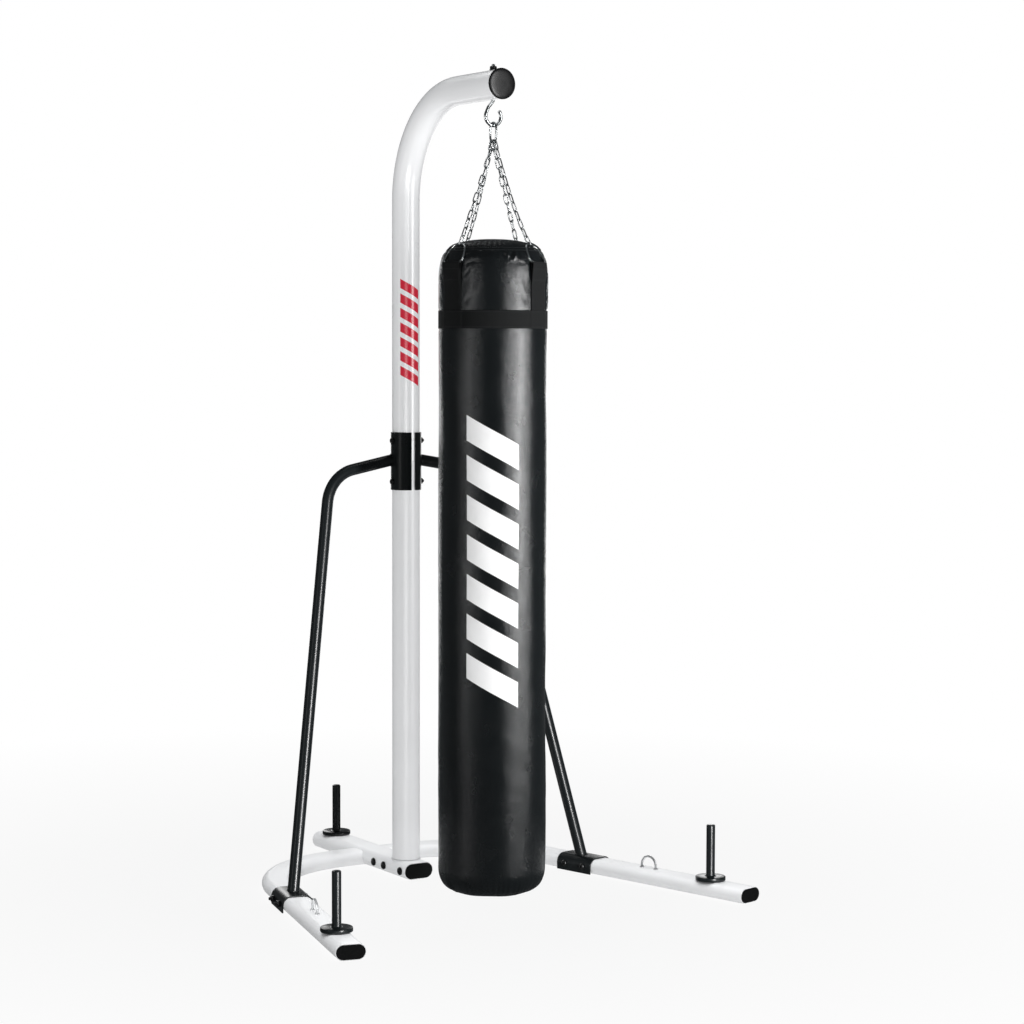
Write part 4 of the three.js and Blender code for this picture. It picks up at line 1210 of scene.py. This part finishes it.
section = []
for share, out in ((0.0, 0.0), (0.006, 0.7), (0.03, 1.0), (0.25, 1.0), (0.5, 1.0), (0.75, 1.0), (0.97, 1.0),
                   (0.994, 0.7), (1.0, 0.0), (0.994, -0.7), (0.97, -1.0), (0.5, -1.0), (0.03, -1.0),
                   (0.006, -0.7)):
    section.append((BAND_Z[0] + share * (BAND_Z[1] - BAND_Z[0]), out * TAPE / 2))
rows = [on_bag(band_angles, band_radius(band_angles, band_mid, out), z) for z, out in section]
u = np.append(band_angles, 2 * np.pi) * BAG_RADIUS
v = [z for z, _ in section + section[:1]]
piece("shoulder_band", Solid().looped(rows, u=u, v=v), "bag", "webbing", "bag_band", sharp=70)


def cover_radius(z):
    return np.interp(z, PROFILE[60:, 1], PROFILE[60:, 0])


def strap_line():
    """[radius, height] of the strap's middle layer: up the cover, over the band, round the
    ring's bar and down behind itself."""
    bar_r, bar_z = RING_BASE
    wrap = RING_WIRE + 0.0002 + TAPE / 2
    against = 0.0001 + TAPE / 2
    stations = [(cover_radius(z) + against, z) for z in np.linspace(BAND_Z[0] + 0.004, 1.768, ON_COVER)]
    for z in np.linspace(1.772, bar_z - 0.004, TO_RING):
        hugging = cover_radius(z) + against + smoothstep(1.768, 1.786, z) * (TAPE + 0.0004)
        stations.append((hugging + (bar_r + wrap - hugging) * smoothstep(1.785, bar_z - 0.002, z), z))
    for a in np.linspace(-0.05, pi + 0.25, 14):
        stations.append((bar_r + wrap * cos(a), bar_z + wrap * sin(a)))
    for z in np.linspace(bar_z - 0.006, 1.776, 12):
        inner = cover_radius(z) - 0.0016 + TAPE / 2
        stations.append((inner + (bar_r - wrap - inner) * smoothstep(1.806, bar_z - 0.002, z), z))
    return np.array(stations)


STRAP = strap_line()
STRAP_AT = distances(STRAP)


def strap_points(degrees, lift, share):
    """Points along a strap. share runs from -1 to 1 across its width."""
    outward, sideways = bag_direction(degrees)
    tangent = np.gradient(STRAP, axis=0)
    tangent /= np.linalg.norm(tangent, axis=1)[:, None]
    line_r = STRAP[:, 0] + tangent[:, 1] * lift
    line_z = STRAP[:, 1] - tangent[:, 0] * lift
    flat = smoothstep(1.775, RING_BASE[1] - 0.004, STRAP[:, 1])
    w = share * STRAP_WIDTH / 2
    x = line_r * np.cos(w / line_r) * (1 - flat) + line_r * flat
    y = line_r * np.sin(w / line_r) * (1 - flat) + w * flat
    return BAG_AXIS + np.outer(x, outward) + np.outer(y, sideways) + np.outer(line_z, Z)


half = [(-1.0, 0.0), (-0.99, 0.7), (-0.95, 1.0)] + [(s, 1.0) for s in np.linspace(-0.75, 0.75, 7)]
half += [(0.95, 1.0), (0.99, 0.7)]
section = half + [(-share, -out) for share, out in half]
u = [share * STRAP_WIDTH / 2 for share, _ in section + section[:1]]
for corner, degrees in STRAP_ANGLES.items():
    rows = np.stack([strap_points(degrees, out * TAPE / 2, share) for share, out in section], 1)
    piece(f"webbing_strap_{corner}", Solid().capped(rows, u=u, v=STRAP_AT), "bag", "webbing",
          f"strap_{corner}", sharp=70)

# ---- stitching ----

STITCH_GAP = 0.0016
WEB_STITCH = (0.0038, 0.0004)  # length and radius of the webbing's stitches


def stitches(solid, points, outward, length=0.0042, radius=0.00045):
    """Adds short threads laid end to end along a line of points, half sunk in the fabric."""
    at = distances(points)
    for i in range(int(at[-1] / (length + STITCH_GAP))):
        t = np.array([0.0, 0.12, 0.5, 0.88, 1.0]) * length + i * (length + STITCH_GAP)
        centre = sampled(points, at, t)
        out = sampled(outward, at, t)
        heading = unit(centre[-1] - centre[0])
        side = unit(np.cross(heading, out[2]))
        up = np.cross(side, heading)
        rows = []
        for c, size, rise in zip(centre, (0.35, 0.85, 1.0, 0.85, 0.35), (-0.6, 0.1, 0.5, 0.1, -0.6)):
            rows.append(laid(circle(radius * size, 6), c + up * rise * radius, side, up))
        solid.capped(rows)


def ring_line(height, count=400):
    """A line round the cover at a height, with its outward directions."""
    a = np.linspace(-np.pi, np.pi, count + 1)
    i = int(np.argmin(np.abs(PROFILE[:, 1] - height) + (PROFILE[:, 0] < 0.09)))
    shift = relief(a, PROFILE[i, 1]) + 0.0001
    return raised(i, a, shift), polar(BAG_FACING + a, *NORMALS[i])


cover_thread, band_thread, strap_thread = Solid(), Solid(), Solid()
for height in (SEAM_Z, SEAM_Z + SEAM_STEP, FOOT_SEAM_Z + 0.0035):
    stitches(cover_thread, *ring_line(height))

for z in (BAND_Z[0] + 0.0045, BAND_Z[1] - 0.0045):
    a = np.linspace(0, 2 * np.pi, BAND_COLUMNS + 1)
    r = band_radius(a, np.append(band_mid, band_mid[0]), TAPE / 2)
    stitches(band_thread, on_bag(a, r, z), polar(BAG_FACING + a, 1.0, 0.0), *WEB_STITCH)

for degrees in STRAP_ANGLES.values():
    outward, _ = bag_direction(degrees)
    pick = (STRAP_AT > 0.06) & (STRAP[:, 1] < RING_BASE[1] - 0.01)
    pick &= np.arange(len(STRAP)) < ON_COVER + TO_RING
    runs = [strap_points(degrees, TAPE / 2, share)[pick] for share in (-0.88, 0.88)]
    for target in (1.778, 1.812):
        i = int(np.argmin(np.abs(STRAP[:ON_COVER + TO_RING, 1] - target)))
        runs.append(np.array([strap_points(degrees, TAPE / 2, s)[i] for s in np.linspace(-0.88, 0.88, 15)]))
    for run in runs:
        stitches(strap_thread, run, np.tile(outward, (len(run), 1)), *WEB_STITCH)

for where, thread in (("cover", cover_thread), ("band", band_thread), ("strap", strap_thread)):
    piece(f"{where}_stitching", thread, "bag", "webbing", look="thread", sharp=60)

# ---- stage, light and camera ----

scene = bpy.context.scene
scene.view_settings.view_transform = "Standard"

CAMERA_PLACE = np.array([-3.73568, -6.53981, 1.59769])
CAMERA_RIGHT = np.array([0.84671, -0.53205, 0.00254])
CAMERA_FORWARD = np.array([0.53103, 0.84478, -0.06595])


def place(thing, right, back, point):
    """Puts a camera or a light at a point, facing away from back."""
    matrix = np.eye(4)
    matrix[:3] = np.stack([right, np.cross(back, right), back, point], 1)
    thing.matrix_world = Matrix(matrix.tolist())


camera_data = bpy.data.cameras.new("camera")
camera_data.lens = 88.457
camera_data.sensor_width = 36.0
camera_data.clip_end = 200.0
camera = shown("camera", camera_data)
place(camera, CAMERA_RIGHT, -CAMERA_FORWARD, CAMERA_PLACE)
scene.camera = camera

floor_solid = Solid()
start, _, n = floor_solid.grid(turned([(r, -0.0004) for r in (1.0, 3.0, 8.0, 20.0, 60.0)], 96))
floor_solid.face(range(start, start + n))
floor_mesh = floor_solid.mesh("floor")
floor = shown("floor", floor_mesh)
floor.visible_glossy = False

ground = Shader("floor", (0.86, 0.86, 0.86), 0.7)
away = ground.node("VectorMath", operation="LENGTH", Vector=ground.place).outputs["Value"]
glow = ground.node("Emission", Color=(1, 1, 1), Strength=1.0)
blend = ground.node("MixShader")
sources = (ground.ranged(away, 0.8, 3.0, 0.92, 1.0), ground.principled.outputs[0], glow.outputs[0])
for socket, source in zip(blend.inputs, sources):
    ground.feed(socket, source)
ground.feed(ground.tree.nodes["Material Output"].inputs[0], blend.outputs[0])
ground.finish(Base_Color=ground.mixed(ground.noise(3.0), (0.85, 0.85, 0.85), (0.87, 0.87, 0.87)))
floor_mesh.materials.append(LOOKS["floor"])

# The world lights the object with a dim grey, and the camera sees it white.
world = bpy.data.worlds.new("studio")
scene.world = world
world.use_nodes = True
tree = world.node_tree
background = tree.nodes["Background"]
background.inputs["Color"].default_value = (0.082, 0.087, 0.09, 1)
backdrop = tree.nodes.new("ShaderNodeBackground")
backdrop.inputs["Color"].default_value = (1, 1, 1, 1)
seen = tree.nodes.new("ShaderNodeLightPath")
choose = tree.nodes.new("ShaderNodeMixShader")
sources = (seen.outputs["Is Camera Ray"], background.outputs[0], backdrop.outputs[0])
for socket, source in zip(choose.inputs, sources):
    tree.links.new(source, socket)
tree.links.new(choose.outputs[0], tree.nodes["World Output"].inputs[0])


def softbox(name, swing, distance, height, width, tall, glare, target_z, only):
    """An area light of a given brightness, placed round the bag by its swing from the
    camera's direction. only names the slots or the pieces it lights."""
    a = atan2(-CAMERA_FORWARD[1], -CAMERA_FORWARD[0]) + radians(swing)
    point = BAG_AXIS + np.array([cos(a) * distance, sin(a) * distance, height])
    light = bpy.data.lights.new(name, "AREA")
    light.shape = "RECTANGLE"
    light.size = width
    light.size_y = tall
    light.energy = glare * pi * width * tall
    made = shown(name, light)
    made.visible_camera = False
    back = unit(point - (BAG_AXIS + Z * target_z))
    place(made, unit(np.cross(Z, back)), back, point)
    lit = bpy.data.collections.new(name + "_lit")
    for thing in scene.objects:
        if thing.type == "MESH" and {thing.get("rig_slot"), thing.name} & set(only):
            lit.objects.link(thing)
    made.light_linking.receiver_collection = lit


CLOTH = ("bag_vinyl", "bag_filling", "webbing")
FRAME = ("black_paint", "black_fasteners")
METAL = ("zinc_steel", "inner_steel")
PLASTIC = ("black_plastic",)
DARK = CLOTH + FRAME + METAL + PLASTIC
WHITE = ("white_paint",)
POLE = ("pole_tube_lower", "pole_tube_upper")
BASE = ("base_tube", "leg_tube_left", "leg_tube_right")

# [name, swing, distance, height, width, tall, glare, height aimed at, what it lights]
LIGHTS = (
    ("strip_right", 59, 3.6, 1.44, 0.35, 1.85, 86, 1.44, CLOTH),
    ("low_right", 62, 3.6, 0.1, 0.6, 0.8, 2.6, 0.1, CLOTH + FRAME),
    ("strip_left", -50, 4.2, 1.5, 0.5, 2.4, 7.5, 1.4, CLOTH),
    ("frame_left", -50, 4.2, 1.5, 0.4, 2.4, 2.5, 1.4, FRAME),
    ("frame_strip", 33, 4.5, 1.0, 0.28, 3.0, 160, 1.0, FRAME),
    ("metal_strip", 58, 3.6, 1.5, 0.45, 2.4, 26, 1.5, METAL),
    ("metal_side", -48, 3.6, 1.5, 0.45, 2.4, 18, 1.5, METAL),
    ("metal_front", 4, 6.0, 2.4, 0.22, 1.2, 14, 2.2, METAL),
    ("plastic_glint", 54, 3.6, 2.5, 0.35, 1.6, 14, 2.5, PLASTIC),
    ("rear_left", -158, 3.6, 1.4, 0.8, 2.0, 3.5, 1.2, DARK),
    ("rear_right", 166, 3.6, 1.4, 0.8, 2.0, 3.5, 1.2, DARK),
    ("paint_rear", 180, 4.0, 1.6, 3.0, 2.0, 0.8, 1.2, WHITE),
    ("top", -150, 1.2, 4.6, 3.0, 3.0, 3.0, 1.2, WHITE),
    ("metal_top", -150, 1.2, 4.6, 1.5, 1.5, 2.0, 1.2, METAL),
    ("paint_right", 62, 5.0, 1.4, 1.6, 2.6, 6.5, 1.3, WHITE),
    ("paint_left", -60, 5.0, 1.0, 2.0, 2.4, 1.0, 0.8, WHITE),
    ("paint_glint", 24, 6.0, 2.2, 0.6, 2.6, 5, 2.0, WHITE),
    ("paint_fill", 10, 6.0, 1.0, 3.5, 3.0, 1.6, 0.6, WHITE),
    ("pole_fill", 4, 3.5, 0.3, 2.4, 1.6, 5.4, 0.9, POLE),
    ("base_fill", 0, 0.6, 1.9, 3.0, 3.0, 1.8, -9.0, BASE),
)
for light in LIGHTS:
    softbox(*light)
